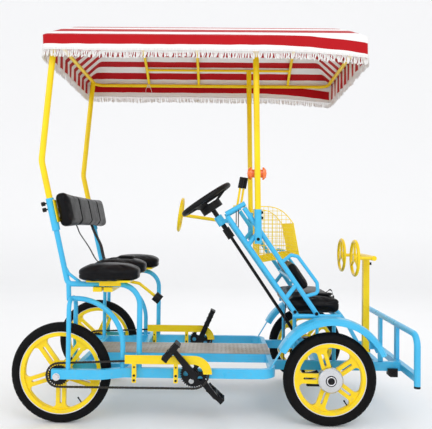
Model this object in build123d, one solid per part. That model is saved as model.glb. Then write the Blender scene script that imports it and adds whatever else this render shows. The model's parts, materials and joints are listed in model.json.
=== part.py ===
from build123d import *

import os
from math import acos, asin, atan2, cos, hypot, radians, sin, sqrt

# Frame of the vehicle: X forward, Y to the left, Z up, millimetres, ground at Z 0.
# Heights and lengths are in the XZ side view, sideways places are distances from the wheels' middle plane.

# Wheels
REAR_R = 257.0
FRONT_R = 239.0
REAR_TYRE_W = 54.0
FRONT_TYRE_W = 60.0
REAR_X = -782.0
FRONT_X = 596.0
WHEEL_Y = 450.0
SEAT_GAP = 0.3
BEAD_DEPTH = 6.0
RIM_DEPTH = 21.0
RIM_W = 38.0
WEB_T = 20.0
HUB_R = 44.0
HUB_HALF = 37.0
SPOKES = 5
SPOKE_HALF = 25.0
SLOT_HALF = 6.0
SLOT_IN = 68.0
SLOT_END = 26.0
WINDOW_IN = 60.0
WINDOW_FILLET = 20.0
REAR_SPOKE_DEG = (54.0, 66.0)
FRONT_SPOKE_DEG = (35.0, 20.0)
RUN_GAP = 0.05
REAR_AXLE_R = 8.0
AXLE_OVER = 8.0
STUB_R = 10.0
SPROCKET_BODY_R = 32.0
COVER_R = 63.0
COVER_BOSS_R = 22.0
COVER_OUT = 49.0
COVER_EDGE = 5.0
COVER_SEAT = 1.0

# Floor rails
RAIL_W = 28.0
RAIL_H = 48.0
RAIL_Z = 269.0
RAIL_OUT = 85.0
RAIL_IN = 35.0
RAIL_TAIL = 26.0
JOG_REAR_X = -560.0
JOG_FRONT_X = -456.0
JOG_BEND = 60.0
FLOOR_FRONT_X = 305.0
FLOOR_CORNER_R = 70.0
STAY_OFF = 55.0
INNER_RAIL_Y = 125.0
DECK_REAR_X = -690.0
MID_CROSS_X = -425.0
DECK_T = 4.0

# Front frame
BEAM_Y = 278.0
AXLE_BEAM = 40.0
HEAD_Y = 375.0
HEAD_R = 20.0
HEAD_H = 88.0
TIE_DROP = 50.0
KINGPIN_R = 8.0
EAR_T = 10.0
EAR_GAP = 2.0
WEB_IN = 23.0
WEB_OUT = 37.0
ARM_BACK = 95.0
ARM_W = 26.0
TIE_PIN_R = 5.0
TIE_PIN_H = 24.0
TIE_ROD_R = 7.0
TIE_EYE_R = 13.0
TIE_EYE_H = 18.0
OPEN_PIN_GAP = 0.6
FORK_GAP = 6.0
FORK_W = 16.0
FORK_T = 6.0
FORK_OVER = 22.0
PITMAN_BALL_R = 9.0
PITMAN_W = 12.0
PITMAN_T = 14.0
PITMAN_EYE_R = 18.0
PITMAN_EYE_H = 16.0

# Drive
CHAIN_OFF = 62.0
CRANK_X = -98.0
CRANK_Z = 272.0
RING_R = 69.0
SPROCKET_R = 54.0
RING_TEETH = 34
SPROCKET_TEETH = 26
TOOTH = 6.0
CHAIN_GAP = 1.0
CHAIN_T = 9.0
CHAIN_W = 8.0
RING_T = 3.0
RING_HOLES = 5
RING_HOLES_AT = 40.0
RING_HOLE_R = 13.0
RING_BOSS_R = 26.0
BB_R = 22.0
BB_SIDE = 5.0
CRANK_AXLE_R = 10.0
CRANK_L = 168.0
CRANK_DEG = {"right": 130.0, "left": 68.0}
PEDAL_DEG = {"right": (50.0, -42.0), "left": (66.0, 20.0)}
ARM_T = 12.0
ARM_HUB_R = 18.0
ARM_TIP_R = 13.0
CHAIN_ARM_OFF = 80.0
FREE_ARM_OFF = 14.0
PEDAL_L = 104.0
PEDAL_W = 88.0
PEDAL_T = 28.0
PEDAL_SLOT = 27.0
PEDAL_SLOT_AT = 29.0
PEDAL_END = 12.0
PEDAL_GAP = 8.0
SPINDLE_R = 7.0
GUARD_OFF = 71.0
GUARD_T = 3.0
GUARD_H = 44.0
GUARD_REAR_X = -445.0
GUARD_OUT_R = 92.0
GUARD_STRAPS_X = (-398.0, -188.0)
STRAP_W = 22.0
STRAP_TAB = 32.0
STRAP_FOOT_Z = 226.0

# Seats
SEAT_TUBE_R = 14.0
UPRIGHT_X = -748.0
SEAT_Z = 714.0
UPRIGHT_TOP_X = -848.0
UPRIGHT_TOP_Z = 1149.0
SOCKET_L = 163.0
SOCKET_R = 20.0
SEAT_LEG_X = -378.0
SEAT_BEND = 105.0
UPRIGHT_BEND = 30.0
BRACE_R = 13.0
LINK_R = 12.0
LINK_AHEAD = 4.0
GUSSET_R = 8.0
GUSSET_H = 105.0
GUSSET_L = 75.0
BRACE_Z = 640.0
BRACE_X = -462.0
BRACE_BEND = 240.0
HOOP_X = -727.0
HOOP_R = 11.5
HOOP_BEND = 55.0
CROSS_TUBES_X = (-593.0, -538.0)
CROSS_TUBE_W = 44.0
CROSS_TUBE_H = 23.0
CROSS_TUBE_OVER = 20.0
SADDLE_L = 302.0
SADDLE_W = 250.0
SADDLE_NOSE_W = 130.0
SADDLE_T = 82.0
SADDLE_WAIST = 0.55
SADDLE_CORNER = 55.0
SADDLE_ROUND = 30.0
SADDLE_NOSE_X = -377.0
SADDLE_Z = 740.0
SADDLE_BACK_SHIFT = 25.0
PAN_T = 10.0
PAN_L = 220.0
PAN_W = 150.0
PAN_FOOT_W = 80.0
PAN_LIP_T = 6.0
PAN_LIP_DROP = 8.0
BACK_T = 66.0
BACK_H = 184.0
BACK_OVER = 15.0
BACK_ROUND = 26.0
BACK_BELOW_TOP = 68.0
BACK_PLATE_T = 4.0
BACK_PLATE = (46.0, 116.0)
KNOBS_BELOW_TOP = (51.0, 21.0)
KNOB_STEM_R = 4.0
KNOB_R = 11.0
KNOB_OUT = (10.0, 26.0)
LOW_LEVER_R = 9.0
LOW_LEVER_BEND = (-446.0, 676.0)
LOW_LEVER_END = (-355.0, 605.0)
LOW_KNOB_R = 28.0
LOW_KNOB_L = 44.0

# Canopy
POST_R = 16.0
POST_STRAIGHT = 193.0
POST_BEND = 120.0
RING_TUBE_R = 11.0
RING_BELOW_EAVE = 6.0
RING_HALF_Y = 505.0
RING_REAR_X = -836.0
RING_FRONT_X = 744.0
RING_CORNER = 60.0
BOW_R = 9.0
LENGTH_BAR_R = 8.0
BOWS_X = (-472.0, -132.0, 476.0)
CLOTH_REAR_X = -870.0
CLOTH_FRONT_X = 767.0
CLOTH_HALF_Y = 541.0
CLOTH_TOP_Z = 2150.0
CLOTH_RISE = 172.0
CLOTH_DROP = 118.0
CLOTH_T = 5.0
CLOTH_HIP = 190.0
CLOTH_CORNER = 35.0

# Ladders between the floor and the dash
LADDER_Y = 363.0
LADDER_R = 13.0
LADDER_TOP_REAR = (65.0, 1070.0)
LADDER_TOP_FRONT = (153.0, 1116.0)
LADDER_HEAD = ((57.0, 1081.0), (158.0, 1139.0))
LADDER_FOOT_REAR_X = 441.0
LADDER_FOOT_FRONT_X = 551.0
FRONT_POST_Y = 390.0
FRONT_POST_X = 229.0
FRONT_POST_TOP_X = 206.0
FRONT_SOCKET_Z = (926.0, 1106.0)
FRONT_SOCKET_R = 19.0
POST_IN_SOCKET = 30.0
RUNG_R = 12.0
RUNGS_X = ((376.0, 434.0), (176.0, 236.0))
GRAB_R = 9.5
GRAB_FEET_X = (478.0, 354.0)
GRAB_CORNERS = ((404.0, 868.0), (440.0, 860.0), (543.0, 722.0), (548.0, 668.0))
GRAB_BENDS = (14.0, 18.0, 18.0, 22.0)

# Child bench and its frame
BENCH_FRAME_Z = 544.5
BENCH_TUBE_R = 12.5
BENCH_CROSS_R = 11.5
BENCH_TUBE_OVER = 20.0
BENCH_LEG_R = 10.5
BENCH_FRAME_X = (436.0, 650.0)
BENCH_X = (391.0, 676.0)
BENCH_HALF_Y = 328.0
BENCH_T = 89.0
BENCH_ROUND = 22.0
CHILD_BACK_T = 45.0
CHILD_BACK_H = 165.0
CHILD_BACK_ROUND = 18.0
CHILD_BACK_INSET = 5.0
CHILD_BAR_X = 421.0
CHILD_BAR_R = 11.0

# Steering
STEER_Y = -195.0
STEER_TOP = (-53.0, 1165.0)
STEER_TOWARDS = (481.0, 378.0)
STEER_LENGTH = 1016.0
WHEEL_RING_R = 145.0
WHEEL_RIM_R = 15.0
WHEEL_SPOKES_DEG = (90, 210, 330)
WHEEL_SPOKE_W = 46.0
WHEEL_SPOKE_T = 12.0
HUB_DROP = 52.0
HUB_PAD_R = 62.0
HUB_PAD_T = 42.0
COLUMN_R = 13.5
COLUMN_L = 226.0
JOINT_L = 62.0
JOINT_R = 21.0
ROD_R = 9.0
DASH_X = 84.0
DASH_R = 13.0
BLOCK_R = 24.0
BLOCK_L = 56.0
BLOCK_AT = 142.0
BLOCK_ARM_W = 40.0
BLOCK_ARM_T = 20.0
LOW_BEARING_AT = 935.0
LOW_BEARING_L = 30.0
LOW_BEARING_R = 19.0
LOW_BRACKET = 32.0
PITMAN_L = 53.0

# Front guard, toy wheels, basket
BUMPER_R = 16.5
BUMPER_HALF_Y = 515.0
BUMPER_TOP_Z = 478.0
BUMPER_LOW_Z = 225.0
BUMPER_BAR_Z = 265.0
BUMPER_BAR_H = 36.0
BUMPER_BAR_W = 30.0
BUMPER_BEND = 60.0
SLATS_Y = (-170.0, 170.0)
SLAT_T = 20.0
SLAT_W = 36.0
TOY_POST_X = 889.0
TOY_POST_W = 36.0
TOY_BAR_Z = 845.0
TOY_Y = 180.0
TOY_X = 783.0
TOY_R = 95.0
TOY_TUBE_R = 9.0
TOY_SPOKE_R = 7.0
TOY_HUB_R = 22.0
TOY_HUB_T = 18.0
TOY_BAR_R = 14.0
TOY_STEM_R = 10.0
TOY_FOOT = 100.0
TOY_FOOT_T = 6.0
DUMMY_Y = 220.0
DUMMY_AT = (-224.0, 1086.0)
DUMMY_R = 100.0
DUMMY_STEM_R = 11.0
FENDER_DX = 8.0
FENDER_DZ = 13.0
FENDER_R = 305.0
FENDER_HALF = 57.0
FENDER_LIP = 22.0
FENDER_T = 3.0
FENDER_CROWN = 4.0
FENDER_DROP = 14.0
FENDER_SHOULDER = 16.0
STRUT_W = 26.0
STRUT_T = 5.0
STRUT_FOOT_X = 286.0
STRUT_REACH = 36.0
FENDER_DEG = (24.0, 153.0)
BASKET_HALF_Y = 300.0
BASKET_SIDE = ((236.0, 820.0), (459.0, 860.0), (424.0, 1036.0), (236.0, 1128.0))
BASKET_T = 4.0
BASKET_PITCH = 46.0
BASKET_ROWS = (3, 4)
BASKET_WIRE = 7.0
BASKET_BAR_X = 355.0
BASKET_BAR_R = 8.0
LAMP_R = 34.0
LAMP_BODY_R = 22.0
LAMP_L = 107.0
LAMP_LENS_T = 24.0
LAMP_STALK_R = 8.0
LAMP_Z = 1300.0

# Brake levers and their cables
LEVER_PLATE_X = (96.0, 160.0)
LEVER_PLATE_Y = (-357.0, -285.0)
LEVER_PLATE_Z = (1118.0, 1128.0)
LEVERS = ((-332.0, 116.0), (-302.0, 136.0))
LEVER_R = 6.0
LEVER_NECK = (16.0, 1222.0)
LEVER_TOP = (27.0, 1280.0)
GRIP_R = 13.0
CABLE_R = 2.5
CABLE_BEND = 20.0
CABLES_X = (112.0, 124.0)
CABLE_LEAVES_X = 380.0
CABLE_TURN_Z = (590.0, 500.0)
CABLE_FOOT_Y = -275.2

SIDES = ("right", "left")
SIGN = {"right": -1, "left": 1}
RAIL_TOP = RAIL_Z + RAIL_H / 2
RAIL_LOW = RAIL_Z - RAIL_H / 2
CLOTH_EAVE_Z = CLOTH_TOP_Z - CLOTH_RISE
CLOTH_HEM_Z = CLOTH_EAVE_Z - CLOTH_DROP
RING_Z = CLOTH_EAVE_Z - RING_BELOW_EAVE
SOCKET_LOW_Z = UPRIGHT_TOP_Z - SOCKET_L
POST_BEND_Z = UPRIGHT_TOP_Z + POST_STRAIGHT
BACK_MID_Z = UPRIGHT_TOP_Z - BACK_BELOW_TOP
BUMPER_X = REAR_R - REAR_X - BUMPER_R
SEAT_Y = {side: SIGN[side] * WHEEL_Y - RAIL_IN for side in SIDES}
MID_SEAT_Y = (SEAT_Y["right"] + SEAT_Y["left"]) / 2
RIGHT_REACH = WHEEL_Y + CHAIN_ARM_OFF + ARM_T + PEDAL_GAP + PEDAL_W
LEFT_REACH = WHEEL_Y - FREE_ARM_OFF + ARM_T + PEDAL_GAP + PEDAL_W
SHIFT_Y = (RIGHT_REACH - LEFT_REACH) / 2
nodes = {}


def side_plane(y):
    return Plane(origin=(0, y, 0), x_dir=(1, 0, 0), z_dir=(0, -1, 0))


def turned_about(x, y, z, way=-1):
    return Plane(origin=(x, y, z), x_dir=(1, 0, 0), z_dir=(0, way, 0))


def rod(a, b, r):
    a, b = Vector(*a), Vector(*b)
    return extrude(Plane(origin=a, z_dir=b - a) * Circle(r), amount=(b - a).length)


def tube(points, r, bend):
    path = FilletPolyline(*points, radius=bend)
    return sweep(Plane(origin=path @ 0, z_dir=path % 0) * Circle(r), path=path)


def box(x, y, z):
    size = [high - low for low, high in (x, y, z)]
    return Pos((x[0] + x[1]) / 2, (y[0] + y[1]) / 2, (z[0] + z[1]) / 2) * Box(*size)


def strip(a, b, width, thick, side):
    a, b = Vector(*a), Vector(*b)
    plane = Plane(origin=a, x_dir=side, z_dir=b - a)
    return extrude(plane * Rectangle(width, thick), amount=(b - a).length)


def lathe(points, where):
    return where.location * revolve(Plane.XZ * make_face(Polyline(*points, close=True)), Axis.Z)


def ring(inner, outer, low, high):
    return [(inner, low), (outer, low), (outer, high), (inner, high)]


def biggest(shape):
    return shape.solids().sort_by(SortBy.VOLUME)[-1]


def belt(c1, r1, c2, r2):
    lean = atan2(c2[1] - c1[1], c2[0] - c1[0])
    open_by = acos((r1 - r2) / hypot(c2[0] - c1[0], c2[1] - c1[1]))

    def on(c, r, angle):
        return (c[0] + r * cos(angle), c[1] + r * sin(angle))

    top1, low1 = on(c1, r1, lean + open_by), on(c1, r1, lean - open_by)
    top2, low2 = on(c2, r2, lean + open_by), on(c2, r2, lean - open_by)
    edges = [
        Line(top1, top2),
        ThreePointArc(top2, on(c2, r2, lean), low2),
        Line(low2, low1),
        ThreePointArc(low1, on(c1, r1, lean + radians(180)), top1),
    ]
    return make_face(edges)


def plate(face, y, thick):
    return extrude(side_plane(y) * face, amount=thick)


def join(*pieces):
    return Part() + list(pieces)


# Cast wheel with paired spokes, its tyre and what turns with it
def wheel_rim(where, wheel_r, tyre_w, first_deg, bore):
    rim_r = wheel_r - tyre_w + BEAD_DEPTH
    edge = ring(rim_r - RIM_DEPTH, rim_r, -RIM_W / 2, RIM_W / 2)
    hub = ring(bore, HUB_R, -HUB_HALF, HUB_HALF)
    web = Circle(rim_r - RIM_DEPTH / 2) - Circle(HUB_R - 4)
    window_out = rim_r - RIM_DEPTH - 3
    step = 360 / SPOKES
    for k in range(SPOKES):
        spoke = first_deg + k * step
        middle = radians(spoke + step / 2)
        inner = radians(step / 2) - asin(SPOKE_HALF / WINDOW_IN)
        outer = radians(step / 2) - asin(SPOKE_HALF / window_out)
        low_a = (WINDOW_IN * cos(middle - inner), WINDOW_IN * sin(middle - inner))
        low_b = (WINDOW_IN * cos(middle + inner), WINDOW_IN * sin(middle + inner))
        top_a = (window_out * cos(middle - outer), window_out * sin(middle - outer))
        top_b = (window_out * cos(middle + outer), window_out * sin(middle + outer))
        top_m = (window_out * cos(middle), window_out * sin(middle))
        arc = ThreePointArc(top_a, top_m, top_b)
        window = make_face([Line(low_b, low_a), Line(low_a, top_a), arc, Line(top_b, low_b)])
        far = window.vertices().sort_by_distance((0, 0))[2:]
        web -= fillet(far, WINDOW_FILLET)
        slot_l = window_out - SLOT_END - SLOT_IN
        web -= Rot(0, 0, spoke) * Pos(SLOT_IN + slot_l / 2, 0) * SlotOverall(slot_l, 2 * SLOT_HALF)
    disc = extrude(web, amount=WEB_T / 2, both=True)
    return join(lathe(edge, where), lathe(hub, where), where.location * disc)


def wheel_tyre(where, wheel_r, tyre_w):
    half = tyre_w / 2
    bead = wheel_r - tyre_w + BEAD_DEPTH + SEAT_GAP
    whole = where.location * Torus(wheel_r - half, half)
    return whole - lathe(ring(0, bead, -tyre_w, tyre_w), where)


def toothed(pitch_r, teeth):
    points = []
    for k in range(teeth):
        for share, r in ((0.0, pitch_r - TOOTH), (0.3, pitch_r), (0.5, pitch_r), (0.8, pitch_r - TOOTH)):
            angle = radians(360 * (k + share) / teeth)
            points.append((r * cos(angle), r * sin(angle)))
    return make_face(Polyline(*points, close=True))


for side in SIDES:
    hub_y = SIGN[side] * WHEEL_Y
    spoke_deg = REAR_SPOKE_DEG[SIDES.index(side)]
    hub = turned_about(REAR_X, hub_y, REAR_R)
    nodes[f"rear_tyre_{side}"] = wheel_tyre(hub, REAR_R, REAR_TYRE_W)
    nodes[f"rear_rim_{side}"] = wheel_rim(hub, REAR_R, REAR_TYRE_W, spoke_deg, REAR_AXLE_R + RUN_GAP)
    face = extrude(toothed(SPROCKET_R, SPROCKET_TEETH), amount=RING_T / 2, both=True)
    axle_bore = REAR_AXLE_R + RUN_GAP
    carrier = lathe(ring(axle_bore, SPROCKET_BODY_R, HUB_HALF, CHAIN_OFF + RING_T), hub)
    bore = lathe(ring(0, axle_bore, 0, 2 * CHAIN_OFF), hub)
    nodes[f"rear_sprocket_{side}"] = join(hub.location * (Pos(0, 0, CHAIN_OFF) * face), carrier) - bore

    front = turned_about(FRONT_X, hub_y, FRONT_R, SIGN[side])
    turn = FRONT_SPOKE_DEG[SIDES.index(side)]
    nodes[f"front_tyre_{side}"] = wheel_tyre(front, FRONT_R, FRONT_TYRE_W)
    nodes[f"front_rim_{side}"] = wheel_rim(front, FRONT_R, FRONT_TYRE_W, turn, STUB_R + RUN_GAP)
    stub_bore = STUB_R + RUN_GAP
    back = WEB_T / 2 + COVER_SEAT
    cover = [
        (stub_bore, HUB_HALF),
        (HUB_R + SEAT_GAP, HUB_HALF),
        (HUB_R + SEAT_GAP, back),
        (COVER_R, back),
        (COVER_R, COVER_OUT - 2 * COVER_EDGE),
        (COVER_R - COVER_EDGE, COVER_OUT - COVER_EDGE),
        (COVER_BOSS_R, COVER_OUT),
        (stub_bore, COVER_OUT),
    ]
    nodes[f"front_hub_cover_{side}"] = lathe(cover, front)

# Floor rails, deck and cross members
def rail(side):
    wheel_y = SIGN[side] * WHEEL_Y
    rear_y, front_y = wheel_y - RAIL_OUT, wheel_y - RAIL_IN
    turn_y = SIGN[side] * (INNER_RAIL_Y + RAIL_W / 2)
    path = FilletPolyline(
        (REAR_X - RAIL_TAIL, rear_y, RAIL_Z),
        (JOG_REAR_X, rear_y, RAIL_Z),
        (JOG_FRONT_X, front_y, RAIL_Z),
        (FLOOR_FRONT_X, front_y, RAIL_Z),
        (FLOOR_FRONT_X, turn_y, RAIL_Z),
        radius=[JOG_BEND, JOG_BEND, FLOOR_CORNER_R],
    )
    start = Plane(origin=path @ 0, x_dir=(0, 0, 1), z_dir=path % 0)
    beam = sweep(start * Rectangle(RAIL_H, RAIL_W), path=path)
    bracket = turned_about(CRANK_X, front_y, CRANK_Z)
    half = RAIL_W / 2 + BB_SIDE
    shell = lathe(ring(0, BB_R, -half, half), bracket)
    hole = lathe(ring(0, CRANK_AXLE_R + RUN_GAP, -RAIL_W, RAIL_W), bracket)
    drop = lathe(ring(0, REAR_AXLE_R + RUN_GAP, -RAIL_W, RAIL_W), turned_about(REAR_X, rear_y, REAR_R))
    return join(beam, shell) - hole - drop


def stay(side):
    y = SIGN[side] * WHEEL_Y + STAY_OFF
    z = (RAIL_LOW, RAIL_TOP)
    end_x = MID_CROSS_X - RAIL_W / 2 if side == "right" else MID_CROSS_X + RAIL_W / 2
    beam = box((REAR_X - RAIL_TAIL, end_x), (y - RAIL_W / 2, y + RAIL_W / 2), z)
    drop = rod((REAR_X, y - RAIL_W, REAR_R), (REAR_X, y + RAIL_W, REAR_R), REAR_AXLE_R + RUN_GAP)
    return beam - drop


for side in SIDES:
    nodes[f"side_rail_{side}"] = rail(side)

rail_z = (RAIL_LOW, RAIL_TOP)
half_w = RAIL_W / 2
right_face = SEAT_Y["right"] + half_w
left_face = SEAT_Y["left"] - half_w
floor = [stay("right"), stay("left")]
for y in (-INNER_RAIL_Y, INNER_RAIL_Y):
    floor.append(box((DECK_REAR_X, FLOOR_FRONT_X + half_w), (y - half_w, y + half_w), rail_z))
floor.append(box((MID_CROSS_X - half_w, MID_CROSS_X + half_w), (right_face, left_face), rail_z))
left_stay_face = WHEEL_Y + STAY_OFF - half_w
floor.append(box((MID_CROSS_X - half_w, MID_CROSS_X + half_w), (left_face + RAIL_W, left_stay_face), rail_z))
right_stay_face = -WHEEL_Y + STAY_OFF + half_w
floor.append(box((DECK_REAR_X - RAIL_W, DECK_REAR_X), (right_stay_face, WHEEL_Y - RAIL_OUT - half_w), rail_z))
floor.append(box((FLOOR_FRONT_X - half_w, FLOOR_FRONT_X + half_w), (-INNER_RAIL_Y, INNER_RAIL_Y), rail_z))
nodes["floor_frame"] = join(*floor)
deck_x = (DECK_REAR_X, FLOOR_FRONT_X + half_w)
deck_y = (-INNER_RAIL_Y - half_w, INNER_RAIL_Y + half_w)
nodes["deck_plate"] = box(deck_x, deck_y, (RAIL_TOP, RAIL_TOP + DECK_T))

axles = []
for side in SIDES:
    wheel_y = SIGN[side] * WHEEL_Y
    inner_end = wheel_y - RAIL_OUT - half_w - AXLE_OVER
    outer_end = wheel_y + STAY_OFF + half_w + AXLE_OVER
    axles.append(rod((REAR_X, inner_end, REAR_R), (REAR_X, outer_end, REAR_R), REAR_AXLE_R))
nodes["rear_axles"] = join(*axles)

# Front frame, knuckles and tie rod
steer_d = Vector(STEER_TOWARDS[0] - STEER_TOP[0], 0, STEER_TOWARDS[1] - STEER_TOP[1]).normalized()
steer_top = Vector(STEER_TOP[0], STEER_Y, STEER_TOP[1])
steer_back = Vector(steer_d.Z, 0, -steer_d.X)


def on_steer(distance):
    return steer_top + steer_d * distance


bar_rear = BUMPER_X - BUMPER_BAR_W / 2
front = []
for y in (-BEAM_Y, BEAM_Y):
    front.append(box((FLOOR_FRONT_X + half_w, bar_rear), (y - half_w, y + half_w), rail_z))
half_beam = AXLE_BEAM / 2
beam_y = (-HEAD_Y + KINGPIN_R, HEAD_Y - KINGPIN_R)
beam_z = (FRONT_R - half_beam, FRONT_R + half_beam)
front.append(box((FRONT_X - half_beam, FRONT_X + half_beam), beam_y, beam_z))
front.append(box((TOY_POST_X - half_w, TOY_POST_X + half_w), (-BEAM_Y, BEAM_Y), rail_z))
head_low = min(FRONT_R - HEAD_H / 2, RAIL_LOW - TIE_DROP)
head_top = FRONT_R + HEAD_H / 2
core_x = (FRONT_X - KINGPIN_R, FRONT_X + KINGPIN_R)
for y in (-BEAM_Y, BEAM_Y):
    front.append(box(core_x, (y - half_w / 2, y + half_w / 2), sorted((FRONT_R, RAIL_Z))))
for y in (-HEAD_Y, HEAD_Y):
    front.append(rod((FRONT_X, y, head_low), (FRONT_X, y, head_top), HEAD_R))
low_bearing = on_steer(LOW_BEARING_AT)
reach = steer_d * LOW_BEARING_L / 2
front.append(rod(low_bearing - reach, low_bearing + reach, LOW_BEARING_R))
bracket_x = (low_bearing.X - LOW_BRACKET / 2, low_bearing.X + LOW_BRACKET / 2)
bracket_z = (low_bearing.Z - LOW_BEARING_R, low_bearing.Z + LOW_BEARING_R / 2)
front.append(box(bracket_x, (-BEAM_Y - half_w, -BEAM_Y + half_w), (RAIL_TOP, bracket_z[1])))
front.append(box(bracket_x, (-BEAM_Y, STEER_Y - ROD_R), bracket_z))
front_frame = join(*front)
for y in (-HEAD_Y, HEAD_Y):
    front_frame -= rod((FRONT_X, y, 0), (FRONT_X, y, 2 * FRONT_R), KINGPIN_R + RUN_GAP)
front_frame -= rod(on_steer(LOW_BEARING_AT - 2 * LOW_BEARING_L), on_steer(STEER_LENGTH), ROD_R + RUN_GAP)
nodes["front_frame"] = front_frame

ear_top, ear_low = head_top + EAR_GAP, head_low - EAR_GAP
tie_x = FRONT_X - ARM_BACK
tie_z = ear_low + TIE_EYE_H / 2 + 1
for side in SIDES:
    s = SIGN[side]
    y = s * HEAD_Y
    web_y = sorted((y + s * WEB_IN, y + s * WEB_OUT))
    ear_y = sorted((y, y + s * WEB_OUT))
    knuckle = [
        rod((FRONT_X, y, ear_low - EAR_T), (FRONT_X, y, ear_top + EAR_T), KINGPIN_R),
        rod((FRONT_X, y, ear_top), (FRONT_X, y, ear_top + EAR_T), HEAD_R),
        rod((FRONT_X, y, ear_low - EAR_T), (FRONT_X, y, ear_low), HEAD_R),
        box((FRONT_X - HEAD_R, FRONT_X + HEAD_R), ear_y, (ear_top, ear_top + EAR_T)),
        box((FRONT_X - HEAD_R, FRONT_X + HEAD_R), ear_y, (ear_low - EAR_T, ear_low)),
        box((FRONT_X - HEAD_R, FRONT_X + HEAD_R), web_y, (ear_low - EAR_T, ear_top + EAR_T)),
        rod((FRONT_X, y + s * WEB_OUT, FRONT_R), (FRONT_X, s * (WHEEL_Y + COVER_OUT), FRONT_R), STUB_R),
        box((tie_x, FRONT_X), (y - ARM_W / 2, y + ARM_W / 2), (ear_low - EAR_T, ear_low)),
        rod((tie_x, y, ear_low - EAR_T), (tie_x, y, ear_low), ARM_W / 2),
        rod((tie_x, y, ear_low), (tie_x, y, ear_low + TIE_PIN_H), TIE_PIN_R),
    ]
    nodes[f"knuckle_{side}"] = join(*knuckle)

pitman_at = on_steer(STEER_LENGTH - PITMAN_EYE_H / 2)
pitman_end = pitman_at + steer_back * PITMAN_L
fork_low = Vector(tie_x, STEER_Y, tie_z)
tie = [rod((tie_x, -HEAD_Y, tie_z), (tie_x, HEAD_Y, tie_z), TIE_ROD_R)]
for y in (-HEAD_Y, HEAD_Y):
    tie.append(rod((tie_x, y, tie_z - TIE_EYE_H / 2), (tie_x, y, tie_z + TIE_EYE_H / 2), TIE_EYE_R))
fork_top = pitman_end + (pitman_end - fork_low).normalized() * FORK_OVER
prong_y = PITMAN_BALL_R + FORK_GAP + FORK_T / 2
for y in (-prong_y, prong_y):
    aside = Vector(0, y, 0)
    tie.append(strip(fork_low + aside, fork_top + aside, FORK_W, FORK_T, (1, 0, 0)))
foot_y = (STEER_Y - prong_y - FORK_T / 2, STEER_Y + prong_y + FORK_T / 2)
foot_z = (tie_z - TIE_EYE_H / 2, tie_z + TIE_EYE_H / 2)
tie.append(box((tie_x - TIE_PIN_R, tie_x + TIE_PIN_R), foot_y, foot_z))
tie_rod = join(*tie)
for side in SIDES:
    gap = RUN_GAP if side == "right" else OPEN_PIN_GAP
    y = SIGN[side] * HEAD_Y
    tie_rod -= rod((tie_x, y, tie_z - TIE_EYE_H), (tie_x, y, tie_z + TIE_EYE_H), TIE_PIN_R + gap)
nodes["tie_rod"] = tie_rod

# Steering wheel and column
hub_at = on_steer(HUB_DROP)
ring_plane = Plane(origin=steer_top, x_dir=(0, 1, 0), z_dir=steer_d)
pad_half = steer_d * HUB_PAD_T / 2
wheel = [ring_plane.location * Torus(WHEEL_RING_R, WHEEL_RIM_R)]
wheel.append(rod(hub_at - pad_half, hub_at + pad_half, HUB_PAD_R))
for angle in WHEEL_SPOKES_DEG:
    reach = ring_plane.x_dir * cos(radians(angle)) + ring_plane.y_dir * sin(radians(angle))
    spoke_end = steer_top + reach * WHEEL_RING_R
    wheel.append(strip(hub_at, spoke_end, WHEEL_SPOKE_W, WHEEL_SPOKE_T, steer_d.cross(reach)))
nodes["steering_wheel"] = join(*wheel)
column = [
    rod(hub_at + pad_half, on_steer(COLUMN_L), COLUMN_R),
    rod(on_steer(COLUMN_L - JOINT_L / 2), on_steer(COLUMN_L + JOINT_L / 2), JOINT_R),
    rod(on_steer(COLUMN_L), on_steer(STEER_LENGTH), ROD_R),
    rod(on_steer(STEER_LENGTH - PITMAN_EYE_H), on_steer(STEER_LENGTH), PITMAN_EYE_R),
    strip(pitman_at, pitman_end, PITMAN_W, PITMAN_T, (0, 1, 0)),
    Pos(pitman_end) * Sphere(PITMAN_BALL_R),
]
nodes["steering_column"] = join(*column)

# Ladders, dash bar, bench frame
def ladder_line(top, foot_x):
    return (BENCH_FRAME_Z - top[1]) / (foot_x - top[0])


rear_slope = ladder_line(LADDER_TOP_REAR, LADDER_FOOT_REAR_X)
front_slope = ladder_line(LADDER_TOP_FRONT, LADDER_FOOT_FRONT_X)


def rear_z(x):
    return LADDER_TOP_REAR[1] + (x - LADDER_TOP_REAR[0]) * rear_slope


def front_z(x):
    return LADDER_TOP_FRONT[1] + (x - LADDER_TOP_FRONT[0]) * front_slope


def bench_tubes(grow):
    tubes = []
    rear, front = BENCH_FRAME_X[0] - BENCH_TUBE_OVER, BENCH_FRAME_X[1] + BENCH_TUBE_OVER
    for y in (-LADDER_Y, LADDER_Y):
        tubes.append(rod((rear, y, BENCH_FRAME_Z), (front, y, BENCH_FRAME_Z), BENCH_TUBE_R + grow))
    for x in BENCH_FRAME_X:
        tubes.append(rod((x, -LADDER_Y, BENCH_FRAME_Z), (x, LADDER_Y, BENCH_FRAME_Z), BENCH_CROSS_R + grow))
    return tubes


bench_frame = bench_tubes(0)
for x in BENCH_FRAME_X:
    for y in (-BEAM_Y, BEAM_Y):
        bench_frame.append(rod((x, y, RAIL_TOP), (x, y, BENCH_FRAME_Z), BENCH_LEG_R))
nodes["bench_frame"] = join(*bench_frame)

post_lean = (FRONT_POST_TOP_X - FRONT_POST_X) / (RING_Z - FRONT_SOCKET_Z[0])


def post_x(z):
    return FRONT_POST_X + (z - FRONT_SOCKET_Z[0]) * post_lean


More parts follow.
